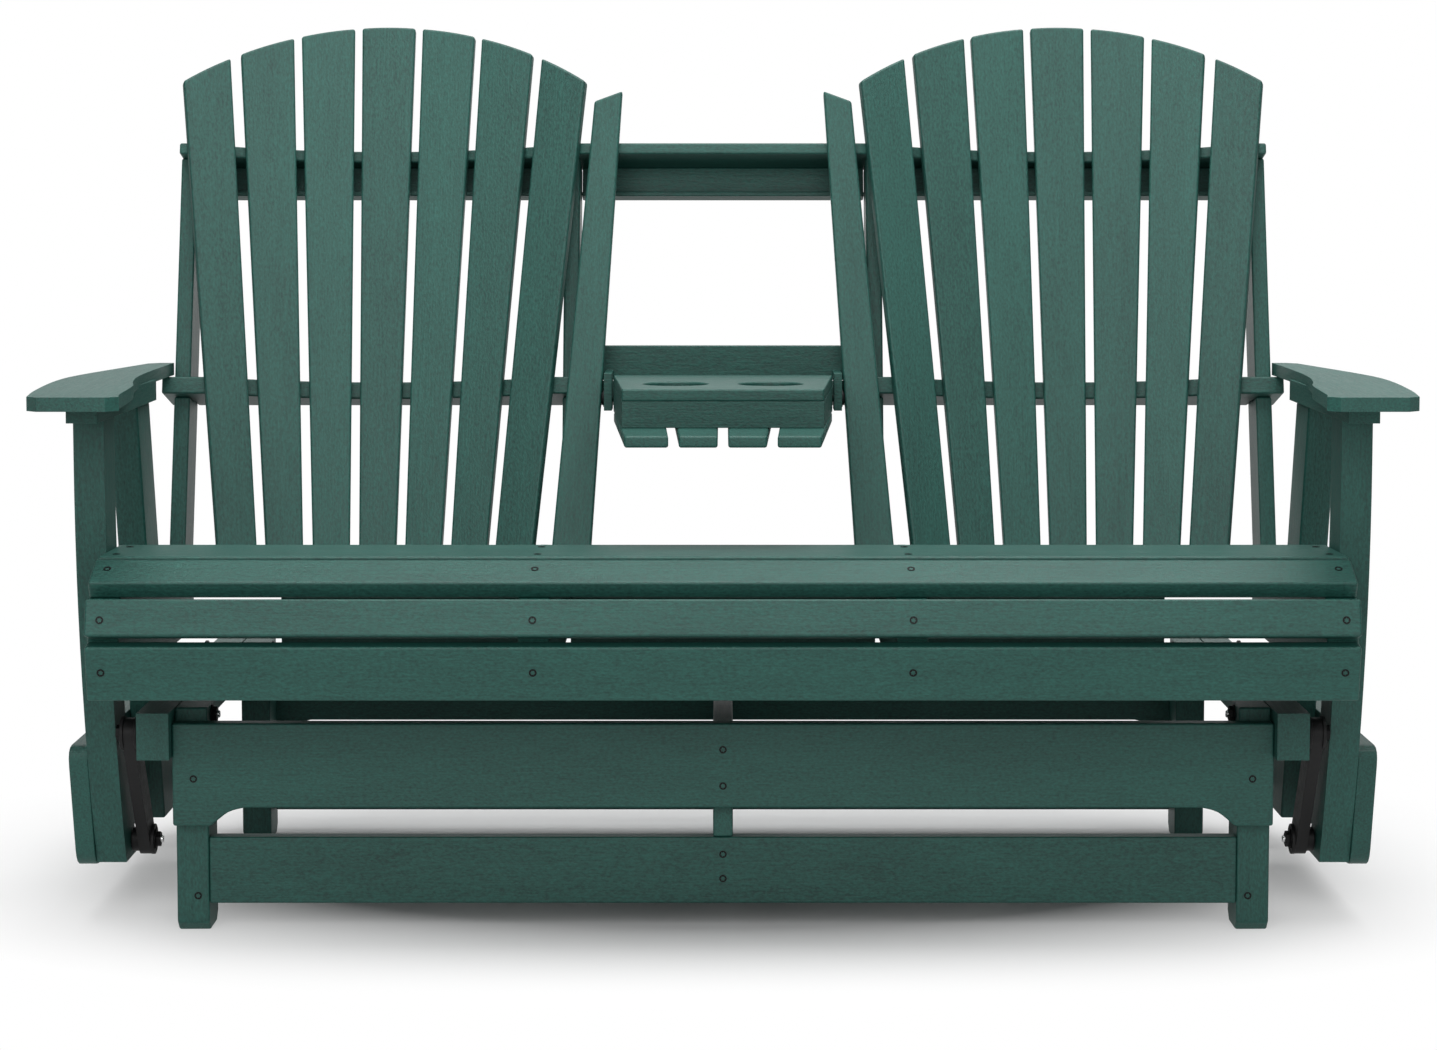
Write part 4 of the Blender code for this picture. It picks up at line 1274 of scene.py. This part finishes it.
@dataclass
class Console:
    """The cup table that flips up into the gap between the fans, and its fixed bracket."""

    hinge_x: float = 0.163
    slat_x: tuple[float, ...] = (-0.101, -0.034, 0.034, 0.101)
    slat_screw_y: tuple[float, ...] = (-0.096, 0.150)
    slat_spread: float = 0.3
    below: float = 0.3
    bracket_screw_z: tuple[float, float] = (0.682, 0.703)
    bracket_screw_inset: float = 0.010
    beside: float = 0.4
    table_ease: float = 0.0026
    frame_ease: float = 0.0024
    slat_ease: float = 0.0030
    washer: tuple[float, float, float] = (0.0120, 0.0056, 0.0014)
    pin_seat: float = 0.0012

    def build(self, shop: Workshop) -> None:
        """Makes the table, its frame and slats, the bracket and the hinge pins."""
        shop.board("console_table", Grain.ACROSS, self.table_ease)
        shop.board("console_frame", Grain.ACROSS, self.frame_ease)
        shop.board("console_slats", Grain.FORE_AND_AFT, self.slat_ease)
        shop.board("console_bracket", Grain.ACROSS, self.table_ease)
        under = [Vector((x * (1.0 + self.slat_spread * y), y, self.below))
                 for x in self.slat_x for y in self.slat_screw_y]
        shop.screws("console_slats", under, UP)
        self.add_pins(shop)
        self.add_bracket_screws(shop)

    def add_pins(self, shop: Workshop) -> None:
        """A washer and a dome head on the outer face of each hinge ear."""
        pivot = Vector(shop.joints["console_flip"]["pos_m"])
        for side, sign in SIDES:
            outward = Vector((sign, 0.0, 0.0))
            face = Vector((sign * self.hinge_x, pivot.y, pivot.z))
            washer = shop.hardware.washer("hinge_washer_" + side, *self.washer)
            shop.mount(shop.set_on(washer, face, outward), "swing", Slot.BLACK)
            shop.fasten("hinge_pin_" + side, "dome", "swing", Slot.FASTENER,
                        [(face + outward * self.pin_seat, outward)])

    def add_bracket_screws(self, shop: Workshop) -> None:
        """Screws through the inner uprights into the ends of the bracket."""
        _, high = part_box("console_bracket")
        y = high.y - self.bracket_screw_inset
        for side, sign in SIDES:
            node = "back_upright_inner_" + side
            inward = Vector((-sign, 0.0, 0.0))
            places = [shop.touch(node, Vector((sign * self.beside, y, z)), inward)
                      for z in self.bracket_screw_z]
            shop.fasten("screws_bracket_" + side, "screw", "swing", Slot.FASTENER, places)


# ---------------------------------------------------------------- studio
@dataclass(frozen=True)
class SoftLight:
    """A rectangular light, its place in metres and its power in watts."""

    name: str
    place: tuple[float, float, float]
    width: float
    height: float
    power: float

    def shine_at(self, target: Vector) -> None:
        """Adds the light, turned to what it looks at."""
        lamp = bpy.data.lights.new(self.name, "AREA")
        lamp.shape = "RECTANGLE"
        lamp.size = self.width
        lamp.size_y = self.height
        lamp.energy = self.power
        light = bpy.data.objects.new(self.name, lamp)
        light.location = self.place
        light.rotation_euler = (target - Vector(self.place)).to_track_quat("-Z", "Y").to_euler()
        bpy.context.scene.collection.objects.link(light)


@dataclass
class Studio:
    """Camera, lights, floor and surroundings."""

    camera_place: tuple[float, float, float] = (0.0, -4.176, 0.954)
    camera_tilt: float = 4.481
    lens: float = 79.80
    sensor: float = 36.0
    shift_x: float = -0.0031
    shift_y: float = -0.0700
    floor_size: float = 60.0
    ambient: float = 0.25
    soft_white: Colour = (0.97, 0.98, 1.0)
    middle: tuple[float, float, float] = (0.0, 0.0, 0.45)
    lights: tuple[SoftLight, ...] = (
        SoftLight("key_light", (-0.5, -4.6, 2.2), 4.6, 2.6, 148.0),
        SoftLight("top_light", (0.2, -0.3, 3.9), 4.2, 3.2, 265.0),
        SoftLight("back_light", (0.0, 4.8, 1.7), 5.2, 2.4, 55.0))

    def build(self) -> None:
        """Sets the whole studio up."""
        self.add_camera()
        self.add_world()
        self.add_floor()
        for light in self.lights:
            light.shine_at(Vector(self.middle))

    def add_camera(self) -> None:
        """A camera in front of the glider, tilted slightly down."""
        lens = bpy.data.cameras.new("studio_camera")
        lens.lens = self.lens
        lens.sensor_width = self.sensor
        lens.shift_x = self.shift_x
        lens.shift_y = self.shift_y
        lens.clip_end = 200.0
        camera = bpy.data.objects.new("studio_camera", lens)
        camera.location = self.camera_place
        camera.rotation_euler = (math.radians(90.0 - self.camera_tilt), 0.0, 0.0)
        bpy.context.scene.collection.objects.link(camera)
        bpy.context.scene.camera = camera

    def add_world(self) -> None:
        """White surroundings that light the object more gently than they show."""
        world = bpy.data.worlds.new("studio_world")
        world.use_nodes = True
        nodes = world.node_tree.nodes
        nodes.clear()
        soft = nodes.new("ShaderNodeBackground")
        soft.inputs["Color"].default_value = (*self.soft_white, 1.0)
        soft.inputs["Strength"].default_value = self.ambient
        seen = nodes.new("ShaderNodeBackground")
        seen.inputs["Color"].default_value = (1.0, 1.0, 1.0, 1.0)
        path = nodes.new("ShaderNodeLightPath")
        choice = nodes.new("ShaderNodeMixShader")
        output = nodes.new("ShaderNodeOutputWorld")
        links = world.node_tree.links
        links.new(path.outputs["Is Camera Ray"], choice.inputs[0])
        links.new(soft.outputs[0], choice.inputs[1])
        links.new(seen.outputs[0], choice.inputs[2])
        links.new(choice.outputs[0], output.inputs["Surface"])
        bpy.context.scene.world = world
        bpy.context.scene.view_settings.view_transform = "Standard"

    def add_floor(self) -> None:
        """A broad plain floor."""
        bpy.ops.object.select_all(action="DESELECT")
        bpy.ops.mesh.primitive_plane_add(size=self.floor_size)
        floor = bpy.context.object
        floor.name = "studio_floor"
        floor.data.materials.append(FloorFinish().material())
        floor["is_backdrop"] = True


def corners() -> list[list[float]]:
    """The lowest and highest corners of the whole object, as plain numbers."""
    return [[float(value) for value in corner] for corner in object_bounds()]


def main() -> None:
    """Builds every sub-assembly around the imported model."""
    logging.basicConfig(level=logging.INFO, format="%(message)s")
    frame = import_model()
    bpy.ops.object.select_all(action="DESELECT")
    Studio().build()
    shop = Workshop(frame)
    for assembly in (Base(), Linkage(), Carriage(), Seat(), Back(), Console()):
        assembly.build(shop)
    shop.clear_patterns()


if __name__ == "__main__":
    main()
